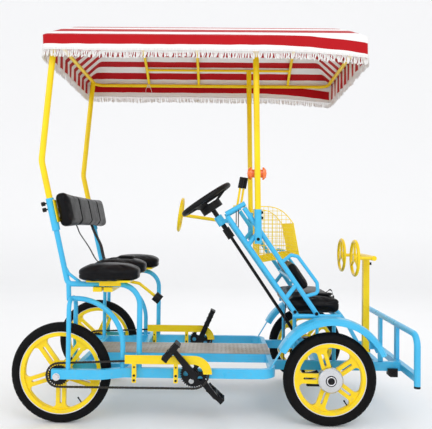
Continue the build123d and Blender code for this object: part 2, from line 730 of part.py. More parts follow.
def ladder_tubes(s, grow):
    y = s * LADDER_Y
    r = LADDER_R + grow
    tubes = [
        rod((LADDER_TOP_REAR[0], y, LADDER_TOP_REAR[1]), (LADDER_FOOT_REAR_X, y, BENCH_FRAME_Z), r),
        rod((LADDER_TOP_FRONT[0], y, LADDER_TOP_FRONT[1]), (LADDER_FOOT_FRONT_X, y, BENCH_FRAME_Z), r),
        rod((LADDER_HEAD[0][0], y, LADDER_HEAD[0][1]), (LADDER_HEAD[1][0], y, LADDER_HEAD[1][1]), r),
    ]
    for rear_x, front_x in RUNGS_X:
        tubes.append(rod((rear_x, y, rear_z(rear_x)), (front_x, y, front_z(front_x)), RUNG_R + grow))
    low_x, top_x = GRAB_FEET_X
    grab = [(top_x, y, front_z(top_x))]
    for x, z in GRAB_CORNERS:
        grab.append((x, y, z))
    grab.append((low_x, y, front_z(low_x)))
    tubes.append(tube(grab, GRAB_R + grow, GRAB_BENDS))
    return tubes


def ladder(s):
    pieces = ladder_tubes(s, 0)
    py = s * FRONT_POST_Y
    low, high = FRONT_SOCKET_Z
    pieces.append(rod((post_x(low), py, low), (post_x(high), py, high), FRONT_SOCKET_R))
    whole = join(*pieces)
    foot, over = low + POST_IN_SOCKET, high + POST_IN_SOCKET
    whole -= rod((post_x(foot), py, foot), (post_x(over), py, over), POST_R + RUN_GAP)
    return biggest(whole - bench_tubes(SEAT_GAP))


nodes["ladder_left"] = ladder(1)
nodes["ladder_right"] = mirror(nodes["ladder_left"], about=Plane.XZ)

ladder_pair = join(*ladder_tubes(-1, SEAT_GAP), *ladder_tubes(1, SEAT_GAP))
dash_z = rear_z(DASH_X)
block_at = on_steer(BLOCK_AT)
dash = [
    rod((DASH_X, -LADDER_Y, dash_z), (DASH_X, LADDER_Y, dash_z), DASH_R),
    rod(block_at - steer_d * BLOCK_L / 2, block_at + steer_d * BLOCK_L / 2, BLOCK_R),
    strip(block_at, (DASH_X, STEER_Y, dash_z), BLOCK_ARM_W, BLOCK_ARM_T, (0, 1, 0)),
]
dash_bar = join(*dash) - ladder_pair
dash_bar -= rod(on_steer(BLOCK_AT - BLOCK_L), on_steer(BLOCK_AT + BLOCK_L), COLUMN_R + RUN_GAP)
dash_bar = biggest(dash_bar)

child_bar_z = front_z(CHILD_BAR_X)
basket_low, basket_front = BASKET_SIDE[:2]
basket_slope = (basket_front[1] - basket_low[1]) / (basket_front[0] - basket_low[0])
basket_bar_drop = (BASKET_BAR_R + SEAT_GAP) * hypot(1, basket_slope)
basket_bar_z = basket_low[1] + (BASKET_BAR_X - basket_low[0]) * basket_slope - basket_bar_drop
bars = []
for x, z, r in ((CHILD_BAR_X, child_bar_z, CHILD_BAR_R), (BASKET_BAR_X, basket_bar_z, BASKET_BAR_R)):
    bars.append(biggest(rod((x, -LADDER_Y, z), (x, LADDER_Y, z), r) - ladder_pair))
nodes["dash_bars"] = join(dash_bar, *bars)

# Child bench and its back pad
bench_low = BENCH_FRAME_Z + BENCH_CROSS_R + SEAT_GAP
bench = box(BENCH_X, (-BENCH_HALF_Y, BENCH_HALF_Y), (bench_low, bench_low + BENCH_T))
bench = fillet(bench.edges(), BENCH_ROUND)
nodes["child_bench"] = bench - ladder_pair
slope = Vector(-1, 0, -front_slope).normalized()
facing = Vector(slope.Z, 0, -slope.X)
pad_mid = Vector(CHILD_BAR_X, 0, child_bar_z) + facing * (CHILD_BAR_R + CHILD_BACK_T / 2 + SEAT_GAP)
pad_w = 2 * (BENCH_HALF_Y - CHILD_BACK_INSET)
pad = fillet(Box(pad_w, CHILD_BACK_H, CHILD_BACK_T).edges(), CHILD_BACK_ROUND)
nodes["child_backrest"] = Plane(origin=pad_mid, x_dir=(0, 1, 0), z_dir=facing).location * pad

# Seat frames: upright, seat rail and leg, brace, wheel hoop and post socket
lean = (UPRIGHT_TOP_X - UPRIGHT_X) / (UPRIGHT_TOP_Z - SEAT_Z)


def upright_x(z):
    return UPRIGHT_X + (z - SEAT_Z) * lean


def seat_frame(side):
    y = SEAT_Y[side]
    wheel_y = SIGN[side] * WHEEL_Y
    seat_line = [(upright_x(SOCKET_LOW_Z), y, SOCKET_LOW_Z), (UPRIGHT_X, y, SEAT_Z)]
    seat_line += [(SEAT_LEG_X, y, SEAT_Z), (SEAT_LEG_X, y, RAIL_TOP)]
    loop = tube(seat_line, SEAT_TUBE_R, [UPRIGHT_BEND, SEAT_BEND])
    brace_line = [(UPRIGHT_X, y, BRACE_Z), (BRACE_X, y, BRACE_Z), (BRACE_X, y, RAIL_TOP)]
    brace = tube(brace_line, BRACE_R, [BRACE_BEND])
    link_low = (UPRIGHT_X + 2 * LINK_AHEAD, y, BRACE_Z - BRACE_R / 2)
    link = rod((UPRIGHT_X + LINK_AHEAD, y, SEAT_Z), link_low, LINK_R)
    rail_y, stay_y = wheel_y - RAIL_OUT, wheel_y + STAY_OFF
    hoop_line = [(HOOP_X, rail_y, RAIL_TOP), (HOOP_X, rail_y, BRACE_Z)]
    hoop_line += [(HOOP_X, stay_y, BRACE_Z), (HOOP_X, stay_y, RAIL_TOP)]
    hoop = tube(hoop_line, HOOP_R, HOOP_BEND)
    high_z = SEAT_Z + GUSSET_H
    gusset_line = [(upright_x(high_z), y, high_z), (UPRIGHT_X + LINK_AHEAD, y, SEAT_Z + GUSSET_H / 2)]
    gusset_line.append((UPRIGHT_X + GUSSET_L, y, SEAT_Z))
    gusset = tube(gusset_line, GUSSET_R, UPRIGHT_BEND)
    socket = rod((upright_x(SOCKET_LOW_Z), y, SOCKET_LOW_Z), (UPRIGHT_TOP_X, y, UPRIGHT_TOP_Z), SOCKET_R)
    low = SOCKET_LOW_Z + POST_IN_SOCKET
    over = UPRIGHT_TOP_Z + POST_IN_SOCKET
    bore = rod((upright_x(low), y, low), (upright_x(over), y, over), POST_R + RUN_GAP)
    return join(loop, brace, link, hoop, gusset, socket) - bore


for side in SIDES:
    nodes[f"seat_frame_{side}"] = seat_frame(side)

cross_low = SEAT_Z - SEAT_TUBE_R - CROSS_TUBE_H
cross_y = (SEAT_Y["right"] - CROSS_TUBE_OVER, SEAT_Y["left"] + CROSS_TUBE_OVER)
tubes = []
for x in CROSS_TUBES_X:
    tube_x = (x - CROSS_TUBE_W / 2, x + CROSS_TUBE_W / 2)
    tubes.append(box(tube_x, cross_y, (cross_low, cross_low + CROSS_TUBE_H)))

# Saddles, their pans and the wide back pad
def saddle(y, shift):
    nose_x = SADDLE_NOSE_X - shift
    tail_x = nose_x - SADDLE_L
    half, nose = SADDLE_W / 2, SADDLE_NOSE_W / 2
    waist_x = tail_x + SADDLE_L * SADDLE_WAIST
    near = [(tail_x, -half), (waist_x, -half), (nose_x, -nose)]
    far = [(nose_x, nose), (waist_x, half), (tail_x, half)]
    face = fillet(make_face(Polyline(*near, *far, close=True)).vertices(), SADDLE_CORNER)
    body = extrude(Pos(0, y, SADDLE_Z) * face, amount=SADDLE_T)
    return fillet(body.faces().sort_by(Axis.Z)[-1].edges(), SADDLE_ROUND)


def saddle_pan(y, shift, on_rail):
    mid_x = SADDLE_NOSE_X - shift - SADDLE_L / 2
    half_l = PAN_L / 2
    top = box((mid_x - half_l, mid_x + half_l), (y - PAN_W / 2, y + PAN_W / 2), (SADDLE_Z - PAN_T, SADDLE_Z))
    if not on_rail:
        foot_x = (CROSS_TUBES_X[0] - CROSS_TUBE_W / 2, CROSS_TUBES_X[1] + CROSS_TUBE_W / 2)
        foot_y = (y - PAN_FOOT_W / 2, y + PAN_FOOT_W / 2)
        return join(top, box(foot_x, foot_y, (cross_low + CROSS_TUBE_H, SADDLE_Z - PAN_T)))
    sides = []
    for s in (-1, 1):
        lip = sorted((y + s * (SEAT_TUBE_R + SEAT_GAP), y + s * (SEAT_TUBE_R + PAN_LIP_T)))
        lip_z = (SEAT_Z - PAN_LIP_DROP, SADDLE_Z - PAN_T)
        sides.append(box((mid_x - PAN_L / 4, mid_x + PAN_L / 4), lip, lip_z))
    return join(top, *sides)


nodes["saddle_right"] = saddle(SEAT_Y["right"], 0)
nodes["saddle_middle"] = saddle(MID_SEAT_Y, SADDLE_BACK_SHIFT)
nodes["saddle_left"] = saddle(SEAT_Y["left"], 0)
pans = [saddle_pan(SEAT_Y[side], 0, True) for side in SIDES]
pans.append(saddle_pan(MID_SEAT_Y, SADDLE_BACK_SHIFT, False))

up = Vector(lean, 0, 1).normalized()
ahead = Vector(up.Z, 0, -up.X)
back_base = Vector(upright_x(BACK_MID_Z), MID_SEAT_Y, BACK_MID_Z) + ahead * SOCKET_R
back_half = (SEAT_Y["left"] - SEAT_Y["right"]) / 2 + BACK_OVER
back_pad = fillet(Box(2 * back_half, BACK_H, BACK_T).edges(), BACK_ROUND)
back_at = back_base + ahead * (BACK_PLATE_T + BACK_T / 2 + SEAT_GAP)
nodes["backrest_pad"] = Plane(origin=back_at, x_dir=(0, 1, 0), z_dir=ahead).location * back_pad
plates = []
for side in SIDES:
    at = back_base + ahead * (BACK_PLATE_T + SEAT_GAP) / 2 + Vector(0, SEAT_Y[side] - MID_SEAT_Y, 0)
    plates.append(Plane(origin=at, x_dir=(0, 1, 0), z_dir=ahead).location * Box(*BACK_PLATE, BACK_PLATE_T))
nodes["seat_plates"] = join(*pans, *plates)
knobs = []
for side in SIDES:
    for below in KNOBS_BELOW_TOP:
        z = UPRIGHT_TOP_Z - below
        at = Vector(upright_x(z), SEAT_Y[side], z) - ahead * SOCKET_R
        knobs.append(rod(at - ahead * SEAT_GAP, at - ahead * KNOB_OUT[0], KNOB_STEM_R))
        knobs.append(rod(at - ahead * KNOB_OUT[0], at - ahead * KNOB_OUT[1], KNOB_R))
nodes["socket_knobs"] = join(*knobs)

# Lever below the middle saddle
lever_bend = Vector(LOW_LEVER_BEND[0], MID_SEAT_Y, LOW_LEVER_BEND[1])
lever_end = Vector(LOW_LEVER_END[0], MID_SEAT_Y, LOW_LEVER_END[1])
lever_foot = (CROSS_TUBES_X[1] + CROSS_TUBE_W / 2, MID_SEAT_Y, cross_low + CROSS_TUBE_H / 2)
nodes["seat_cross_tubes"] = join(*tubes, tube([lever_foot, lever_bend, lever_end], LOW_LEVER_R, UPRIGHT_BEND))
lever_knob = rod(lever_end, lever_end + (lever_end - lever_bend).normalized() * LOW_KNOB_L, LOW_KNOB_R)

# Canopy posts, frame and cloth
rear_posts = []
for side in SIDES:
    y = SEAT_Y[side]
    low = SOCKET_LOW_Z + POST_IN_SOCKET
    path = [(upright_x(low), y, low), (upright_x(POST_BEND_Z), y, POST_BEND_Z), (RING_REAR_X, y, RING_Z)]
    rear_posts.append(tube(path, POST_R, POST_BEND))

roof_rise = CLOTH_TOP_Z - CLOTH_EAVE_Z
roof_half = CLOTH_HALF_Y - CLOTH_T
roof_r = (roof_half**2 + roof_rise**2) / (2 * roof_rise)
roof_mid_z = CLOTH_TOP_Z - CLOTH_T - roof_r
bow_axis_r = roof_r - BOW_R - SEAT_GAP


def bow_z(y):
    return roof_mid_z + sqrt(bow_axis_r**2 - y**2)


front_posts = []
for y in (-FRONT_POST_Y, FRONT_POST_Y):
    low = FRONT_SOCKET_Z[0] + POST_IN_SOCKET
    top = bow_z(FRONT_POST_Y)
    front_posts.append(rod((post_x(low), y, low), (post_x(top), y, top), POST_R))

ring_path = FilletPolyline(
    (RING_REAR_X, -RING_HALF_Y, RING_Z),
    (RING_FRONT_X, -RING_HALF_Y, RING_Z),
    (RING_FRONT_X, RING_HALF_Y, RING_Z),
    (RING_REAR_X, RING_HALF_Y, RING_Z),
    radius=RING_CORNER,
    close=True,
)


def post_stops(grow):
    start = Plane(origin=ring_path @ 0, z_dir=ring_path % 0)
    stops = [sweep(start * Circle(RING_TUBE_R + grow), path=ring_path)]
    for y in (-FRONT_POST_Y, FRONT_POST_Y):
        z = bow_z(FRONT_POST_Y)
        stops.append(rod((BOWS_X[0], y, z), (BOWS_X[-1], y, z), LENGTH_BAR_R + grow))
    return stops


canopy_bars = post_stops(0)
for x in BOWS_X:
    end_z = bow_z(RING_HALF_Y)
    bow = ThreePointArc((x, -RING_HALF_Y, end_z), (x, 0, bow_z(0)), (x, RING_HALF_Y, end_z))
    canopy_bars.append(sweep(Plane(origin=bow @ 0, z_dir=bow % 0) * Circle(BOW_R), path=bow))
nodes["canopy_frame"] = join(*canopy_bars)
cut_posts = []
for post in rear_posts + front_posts:
    cut_posts.append(biggest(post - post_stops(SEAT_GAP)))
nodes["canopy_posts"] = join(*cut_posts)


def canopy_block(inset, hem):
    half, eave, top = CLOTH_HALF_Y - inset, CLOTH_EAVE_Z - inset, CLOTH_TOP_Z - inset
    rear, front = CLOTH_REAR_X + inset, CLOTH_FRONT_X - inset
    section = make_face([
        Line((-half, hem), (-half, eave)),
        ThreePointArc((-half, eave), (0, top), (half, eave)),
        Line((half, eave), (half, hem)),
        Line((half, hem), (-half, hem)),
    ])
    end_plane = Plane(origin=(rear, 0, 0), x_dir=(0, 1, 0), z_dir=(1, 0, 0))
    along = extrude(end_plane * section, amount=front - rear)
    rear_side = [(rear, hem), (rear, eave), (rear + CLOTH_HIP, top)]
    front_side = [(front - CLOTH_HIP, top), (front, eave), (front, hem)]
    profile = make_face(Polyline(*rear_side, *front_side, close=True))
    across = extrude(side_plane(half) * profile, amount=2 * half)
    cut = CLOTH_CORNER
    corners = []
    for x, way_x in ((rear, 1), (front, -1)):
        for y, way_y in ((-half, 1), (half, -1)):
            corners.append(((x, y + way_y * cut), (x + way_x * cut, y)))
    (a, b), (c, d), (e, f), (g, h) = corners
    plan = Pos(0, 0, hem) * make_face(Polyline(a, b, f, e, g, h, d, c, close=True))
    return along & across & extrude(plan, amount=top - hem)


nodes["canopy_cloth"] = canopy_block(0, CLOTH_HEM_Z) - canopy_block(CLOTH_T, CLOTH_HEM_Z - CLOTH_T)

# Chains, guards, cranks and pedals
def pedal(x, y0, z, angle):
    flat = (cos(radians(angle)), 0, sin(radians(angle)))
    where = Plane(origin=(x, y0, z), x_dir=flat, z_dir=(0, -1, 0))
    frame = Rectangle(PEDAL_L, PEDAL_T) - Circle(SPINDLE_R + RUN_GAP)
    body = extrude(frame, amount=PEDAL_W)
    slot = Pos(0, 0, PEDAL_W / 2) * Box(PEDAL_SLOT, PEDAL_T * 2, PEDAL_W - 2 * PEDAL_END)
    for s in (-1, 1):
        body -= Pos(s * PEDAL_SLOT_AT, 0, 0) * slot
    return where.location * body


guards = []
chains = []
for side in SIDES:
    wheel_y = SIGN[side] * WHEEL_Y
    rear_c, crank_c = (REAR_X, REAR_R), (CRANK_X, CRANK_Z)
    grow = CHAIN_GAP + CHAIN_T
    outside = belt(rear_c, SPROCKET_R + grow, crank_c, RING_R + grow)
    inside = belt(rear_c, SPROCKET_R + CHAIN_GAP, crank_c, RING_R + CHAIN_GAP)
    chains.append(plate(outside - inside, wheel_y - CHAIN_OFF + CHAIN_W / 2, CHAIN_W))
    inner = GUARD_OUT_R - GUARD_H
    around = []
    for r in (GUARD_OUT_R, inner):
        over, ahead_of = (CRANK_X, CRANK_Z + r), (CRANK_X + r, CRANK_Z)
        between = (CRANK_X + r * cos(radians(45)), CRANK_Z + r * sin(radians(45)))
        around.append(Line((GUARD_REAR_X, CRANK_Z + r), over))
        around.append(ThreePointArc(over, between, ahead_of))
    around.append(Line((CRANK_X + GUARD_OUT_R, CRANK_Z), (CRANK_X + inner, CRANK_Z)))
    around.append(Line((GUARD_REAR_X, CRANK_Z + inner), (GUARD_REAR_X, CRANK_Z + GUARD_OUT_R)))
    face_y = wheel_y - GUARD_OFF
    guard = [plate(make_face(around), face_y, GUARD_T)]
    for x in GUARD_STRAPS_X:
        strap_x = (x - STRAP_W / 2, x + STRAP_W / 2)
        guard.append(box(strap_x, (face_y - GUARD_T, face_y), (STRAP_FOOT_Z, CRANK_Z + inner + GUARD_T)))
        tab_z = (RAIL_Z - STRAP_TAB / 2, RAIL_Z + STRAP_TAB / 2)
        guard.append(box(strap_x, (face_y, wheel_y - RAIL_IN - RAIL_W / 2), tab_z))
    guards.append(join(*guard))

    angle = radians(CRANK_DEG[side])
    tip = (CRANK_X + CRANK_L * cos(angle), CRANK_Z + CRANK_L * sin(angle))
    back_tip = (CRANK_X - CRANK_L * cos(angle), CRANK_Z - CRANK_L * sin(angle))
    arm_y = wheel_y - CHAIN_ARM_OFF
    free_y = wheel_y - FREE_ARM_OFF
    ring_face = toothed(RING_R, RING_TEETH)
    for k in range(RING_HOLES):
        ring_face -= Rot(0, 0, 360 * (k + 0.5) / RING_HOLES) * Pos(RING_HOLES_AT, 0) * Circle(RING_HOLE_R)
    at_crank = turned_about(CRANK_X, wheel_y - CHAIN_OFF, CRANK_Z)
    arm_end, free_end = arm_y - ARM_T, free_y + ARM_T
    spindle = PEDAL_GAP + PEDAL_W
    crank = [
        at_crank.location * extrude(ring_face, amount=RING_T / 2, both=True),
        rod((CRANK_X, arm_end, CRANK_Z), (CRANK_X, free_end, CRANK_Z), CRANK_AXLE_R),
        plate(belt(crank_c, ARM_HUB_R, tip, ARM_TIP_R), arm_y, ARM_T),
        plate(belt(crank_c, ARM_HUB_R, back_tip, ARM_TIP_R), free_end, ARM_T),
        rod((tip[0], arm_end, tip[1]), (tip[0], arm_end - spindle, tip[1]), SPINDLE_R),
        rod((back_tip[0], free_end, back_tip[1]), (back_tip[0], free_end + spindle, back_tip[1]), SPINDLE_R),
        rod((CRANK_X, wheel_y - CHAIN_OFF, CRANK_Z), (CRANK_X, arm_y, CRANK_Z), RING_BOSS_R),
    ]
    nodes[f"crank_{side}"] = join(*crank)
    chain_pedal, free_pedal = PEDAL_DEG[side]
    nodes[f"pedal_{side}_chain_side"] = pedal(tip[0], arm_end - PEDAL_GAP, tip[1], chain_pedal)
    nodes[f"pedal_{side}_free_side"] = pedal(back_tip[0], free_end + spindle, back_tip[1], free_pedal)
nodes["chain_guards"] = join(*guards)
nodes["chains"] = join(*chains)

# Front mudguards
def fender(side):
    s = SIGN[side]
    y = s * WHEEL_Y
    where = turned_about(FRONT_X + FENDER_DX, y, FRONT_R + FENDER_DZ)
    r, w, t = FENDER_R, FENDER_HALF, FENDER_T
    crown_r, edge_r = r - FENDER_CROWN, r - FENDER_DROP
    lip_r = edge_r - FENDER_LIP
    half = [(r, 0), (crown_r, w - FENDER_SHOULDER), (edge_r, w), (lip_r, w), (lip_r, w - t)]
    half += [(edge_r - t, w - t), (crown_r - t, w - FENDER_SHOULDER - t / 3), (r - t, 0)]
    skin = half + [(radius, -across) for radius, across in half[-2:0:-1]]
    face = make_face(Polyline(*skin, close=True))
    span = FENDER_DEG[1] - FENDER_DEG[0]
    arc = Rot(0, 0, FENDER_DEG[0]) * revolve(Plane.XZ * face, Axis.Z, revolution_arc=span)
    guard = where.location * arc
    mid_r = r - FENDER_DROP + t
    ends = []
    for angle in (FENDER_DEG[1] - t, FENDER_DEG[0] + t):
        turn = radians(angle)
        end_x = FRONT_X + FENDER_DX + mid_r * cos(turn)
        ends.append(Vector(end_x, 0, FRONT_R + FENDER_DZ + mid_r * sin(turn)))
    rear_end, front_end = ends
    strut_y = Vector(0, SEAT_Y[side] + s * STRUT_T, 0)
    rear_foot = Vector(STRUT_FOOT_X, 0, RAIL_TOP)
    flat = Vector(rear_foot.Z - rear_end.Z, 0, rear_end.X - rear_foot.X)
    rear_strut = strip(rear_end + strut_y, rear_foot + strut_y, STRUT_T, STRUT_W, flat)
    front_top = front_end + Vector(0, s * (WHEEL_Y - FENDER_HALF + 2 * t), 0)
    front_foot = (front_end.X + STRUT_REACH, s * (BEAM_Y + t), RAIL_TOP)
    front_strut = strip(front_top, front_foot, STRUT_W, STRUT_T, (1, 0, 0))
    return join(guard, rear_strut, front_strut)


for side in SIDES:
    whole = fender(side) - nodes["front_frame"] - nodes[f"side_rail_{side}"]
    nodes[f"fender_{side}"] = biggest(whole)

# Front guard
hoop = [(-BUMPER_HALF_Y, BUMPER_LOW_Z), (-BUMPER_HALF_Y, BUMPER_TOP_Z)]
hoop += [(BUMPER_HALF_Y, BUMPER_TOP_Z), (BUMPER_HALF_Y, BUMPER_LOW_Z)]
loop = tube([(BUMPER_X, y, z) for y, z in hoop], BUMPER_R, BUMPER_BEND)
bar_x = (BUMPER_X - BUMPER_BAR_W / 2, BUMPER_X + BUMPER_BAR_W / 2)
bar_z = (BUMPER_BAR_Z - BUMPER_BAR_H / 2, BUMPER_BAR_Z + BUMPER_BAR_H / 2)
guard = [loop, box(bar_x, (-BUMPER_HALF_Y, BUMPER_HALF_Y), bar_z)]
slat_x = (BUMPER_X - SLAT_T / 2, BUMPER_X + SLAT_T / 2)
for y in SLATS_Y:
    guard.append(box(slat_x, (y - SLAT_W / 2, y + SLAT_W / 2), (BUMPER_BAR_Z, BUMPER_TOP_Z)))
nodes["front_guard"] = join(*guard)

# Toy steering wheels and the passenger's dummy wheel
def toy_wheel(hub, axis, r, tube_r):
    where = Plane(origin=hub, x_dir=(0, 1, 0), z_dir=axis)
    boss = axis * TOY_HUB_T / 2
    pieces = [where.location * Torus(r, tube_r), rod(hub - boss, hub + boss, TOY_HUB_R)]
    for angle in WHEEL_SPOKES_DEG:
        reach = where.x_dir * cos(radians(angle)) + where.y_dir * sin(radians(angle))
        pieces.append(rod(hub, hub + reach * r, TOY_SPOKE_R))
    return pieces


half_post = TOY_POST_W / 2
foot_top = RAIL_TOP + TOY_FOOT_T
toy_post = [
    box((TOY_POST_X - half_post, TOY_POST_X + half_post), (-half_post, half_post), (foot_top, TOY_BAR_Z)),
    box((TOY_POST_X - half_w, TOY_POST_X + half_w), (-TOY_FOOT / 2, TOY_FOOT / 2), (RAIL_TOP, foot_top)),
    rod((TOY_POST_X, -TOY_Y - TOY_BAR_R, TOY_BAR_Z), (TOY_POST_X, TOY_Y + TOY_BAR_R, TOY_BAR_Z), TOY_BAR_R),
]
for y in (-TOY_Y, TOY_Y):
    toy_post.append(rod((TOY_X, y, TOY_BAR_Z), (TOY_POST_X, y, TOY_BAR_Z), TOY_STEM_R))
    toy_post += toy_wheel(Vector(TOY_X, y, TOY_BAR_Z), Vector(1, 0, 0), TOY_R, TOY_TUBE_R)
nodes["toy_wheels"] = join(*toy_post)
dummy_hub = Vector(DUMMY_AT[0], DUMMY_Y, DUMMY_AT[1])
dummy_way = (Vector(DASH_X, DUMMY_Y, dash_z) - dummy_hub).normalized()
dummy = toy_wheel(dummy_hub, dummy_way, DUMMY_R, TOY_TUBE_R)
dummy.append(rod(dummy_hub, (DASH_X, DUMMY_Y, dash_z), DUMMY_STEM_R))
dash_seat = rod((DASH_X, -LADDER_Y, dash_z), (DASH_X, LADDER_Y, dash_z), DASH_R + SEAT_GAP)
nodes["dummy_wheel"] = biggest(join(*dummy) - dash_seat)

# Brake levers on the dash and the cables that run down the right ladder to the front beam
levers = [box(LEVER_PLATE_X, LEVER_PLATE_Y, LEVER_PLATE_Z)]
grips = []
for y, x in LEVERS:
    neck = (x + LEVER_NECK[0], y, LEVER_NECK[1])
    levers.append(rod((x, y, LEVER_PLATE_Z[0]), neck, LEVER_R))
    grips.append(rod(neck, (x + LEVER_TOP[0], y, LEVER_TOP[1]), GRIP_R))
nodes["brake_levers"] = biggest(join(*levers) - ladder_pair)
nodes["hand_grips"] = join(lever_knob, join(*grips) - nodes["brake_levers"])

cables = []
pitch = 2 * CABLE_R + SEAT_GAP
for k, x in enumerate(CABLES_X):
    y = -LADDER_Y + LADDER_R + CABLE_R + SEAT_GAP + k * pitch
    foot_y = CABLE_FOOT_Y + k * pitch
    drop, turn = foot_y - y, CABLE_TURN_Z[0] - CABLE_TURN_Z[1]
    rise = k * pitch * (hypot(drop, turn) - turn) / drop
    route = [
        (x, y, LEVER_PLATE_Z[0] - SEAT_GAP),
        (x, y, rear_z(x)),
        (CABLE_LEAVES_X, y, rear_z(CABLE_LEAVES_X)),
        (CABLE_LEAVES_X, y, CABLE_TURN_Z[0] + rise),
        (CABLE_LEAVES_X, foot_y, CABLE_TURN_Z[1] + rise),
        (CABLE_LEAVES_X, foot_y, RAIL_TOP + SEAT_GAP),
    ]
    cables.append(tube(route, CABLE_R, CABLE_BEND))
nodes["brake_cables"] = join(*cables)

# Basket between the ladders: open at the top, lattice walls
def basket():
    low_rear, low_front, top_front, top_rear = BASKET_SIDE
    t = BASKET_T
    wide = 2 * BASKET_HALF_Y
    outer = plate(make_face(Polyline(*BASKET_SIDE, close=True)), BASKET_HALF_Y, wide)
    hollow = [(low_rear[0] + t, low_rear[1] + t), (low_front[0] - t, low_front[1] + t)]
    over = BASKET_PITCH / 2
    hollow += [(top_front[0], top_front[1] + over), (top_rear[0] + t, top_rear[1] + over)]
    shell = outer - plate(make_face(Polyline(*hollow, close=True)), BASKET_HALF_Y - t, wide - 2 * t)
    gap = BASKET_PITCH - BASKET_WIRE
    columns = int((wide - gap / 2) / BASKET_PITCH)
    first_x, first_z = low_rear[0] + gap, low_front[1] + gap - BASKET_WIRE
    top_slope = (top_front[1] - top_rear[1]) / (top_front[0] - top_rear[0])
    front_slant = (top_front[0] - low_front[0]) / (top_front[1] - low_front[1])
    holes = []
    for k in range(columns):
        y = (k - (columns - 1) / 2) * BASKET_PITCH
        for row in range(BASKET_ROWS[0]):
            holes.append(Pos(first_x, y, first_z + row * BASKET_PITCH) * Box(wide, gap, gap))
        for row in range(BASKET_ROWS[1]):
            holes.append(Pos(first_x + row * BASKET_PITCH, y, low_rear[1]) * Box(gap, gap, 2 * BASKET_PITCH))
    for row in range(BASKET_ROWS[1] + 1):
        for k in range(BASKET_ROWS[1]):
            x, z = first_x + k * BASKET_PITCH, first_z + row * BASKET_PITCH
            right, high = x + gap / 2 + BASKET_WIRE, z + gap / 2 + BASKET_WIRE
            under_top = high < top_rear[1] + (right - top_rear[0]) * top_slope
            if under_top and right < low_front[0] + (high - low_front[1]) * front_slant:
                holes.append(Pos(x, 0, z) * Box(gap, 2 * wide, gap))
    return shell - holes


nodes["basket"] = basket()

# Two-faced signal lamp on the inner side of the right front post
lamp_x, lamp_y = post_x(LAMP_Z), -FRONT_POST_Y + POST_R + LAMP_R + SEAT_GAP
lamp_half = LAMP_L / 2 - LAMP_LENS_T
lens = [(0, 0), (LAMP_R, 0), (LAMP_R, LAMP_LENS_T / 3), (LAMP_BODY_R, LAMP_LENS_T * 0.8), (0, LAMP_LENS_T)]
lamp = [rod((lamp_x - lamp_half, lamp_y, LAMP_Z), (lamp_x + lamp_half, lamp_y, LAMP_Z), LAMP_BODY_R)]
for way in (-1, 1):
    lamp.append(lathe(lens, Plane(origin=(lamp_x + way * lamp_half, lamp_y, LAMP_Z), z_dir=(way, 0, 0))))
lamp.append(rod((lamp_x, lamp_y, LAMP_Z), (lamp_x, -FRONT_POST_Y, LAMP_Z), LAMP_STALK_R))
low, high = LAMP_Z - LAMP_L, LAMP_Z + LAMP_L
post_seat = rod((post_x(low), -FRONT_POST_Y, low), (post_x(high), -FRONT_POST_Y, high), POST_R + SEAT_GAP)
nodes["signal_lamp"] = biggest(join(*lamp) - post_seat)

os.makedirs("parts", exist_ok=True)
for name, shape in nodes.items():
    export_step(Pos(0, SHIFT_Y, 0) * shape, f"parts/{name}.step")
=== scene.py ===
import json
import math
import random

import bmesh
import bpy
from mathutils import Matrix, Vector


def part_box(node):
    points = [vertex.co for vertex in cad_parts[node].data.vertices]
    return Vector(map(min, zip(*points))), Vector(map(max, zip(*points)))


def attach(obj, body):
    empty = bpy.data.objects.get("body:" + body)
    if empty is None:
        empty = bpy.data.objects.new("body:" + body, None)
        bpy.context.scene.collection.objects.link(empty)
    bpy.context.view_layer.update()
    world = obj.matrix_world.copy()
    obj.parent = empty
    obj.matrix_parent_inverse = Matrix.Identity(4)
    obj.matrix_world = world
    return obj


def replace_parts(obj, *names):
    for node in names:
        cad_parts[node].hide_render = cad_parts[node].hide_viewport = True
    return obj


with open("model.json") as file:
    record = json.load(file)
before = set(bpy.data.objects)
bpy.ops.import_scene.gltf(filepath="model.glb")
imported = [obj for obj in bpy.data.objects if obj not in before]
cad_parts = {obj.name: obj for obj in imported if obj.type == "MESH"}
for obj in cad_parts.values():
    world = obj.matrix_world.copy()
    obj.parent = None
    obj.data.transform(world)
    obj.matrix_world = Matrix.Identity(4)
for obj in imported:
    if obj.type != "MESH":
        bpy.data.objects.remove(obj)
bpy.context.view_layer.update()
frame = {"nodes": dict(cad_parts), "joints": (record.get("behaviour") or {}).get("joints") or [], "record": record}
nodes = frame["nodes"]
bpy.ops.object.select_all(action="DESELECT")
MM = 0.001
SIDES = ("right", "left")
OUTWARD = {"right": -1, "left": 1}
MID_Y = 47 * MM
boxes = {}


def box(node):
    if node not in boxes:
        boxes[node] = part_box(node)
    return boxes[node]


def middle(node):
    low, high = box(node)
    return (low + high) / 2


def half_size(node):
    low, high = box(node)
    return (high - low) / 2


# Camera, from the photograph's own frame of 432 by 429
PHOTO_W = 432
FOCAL_PX = 582
SENSOR_MM = 36
CAMERA_AT = Vector((0.036, -3.409, 1.017))
YAW_DEG = 0.59
PITCH_DEG = 1.13
ROLL_DEG = 0.6


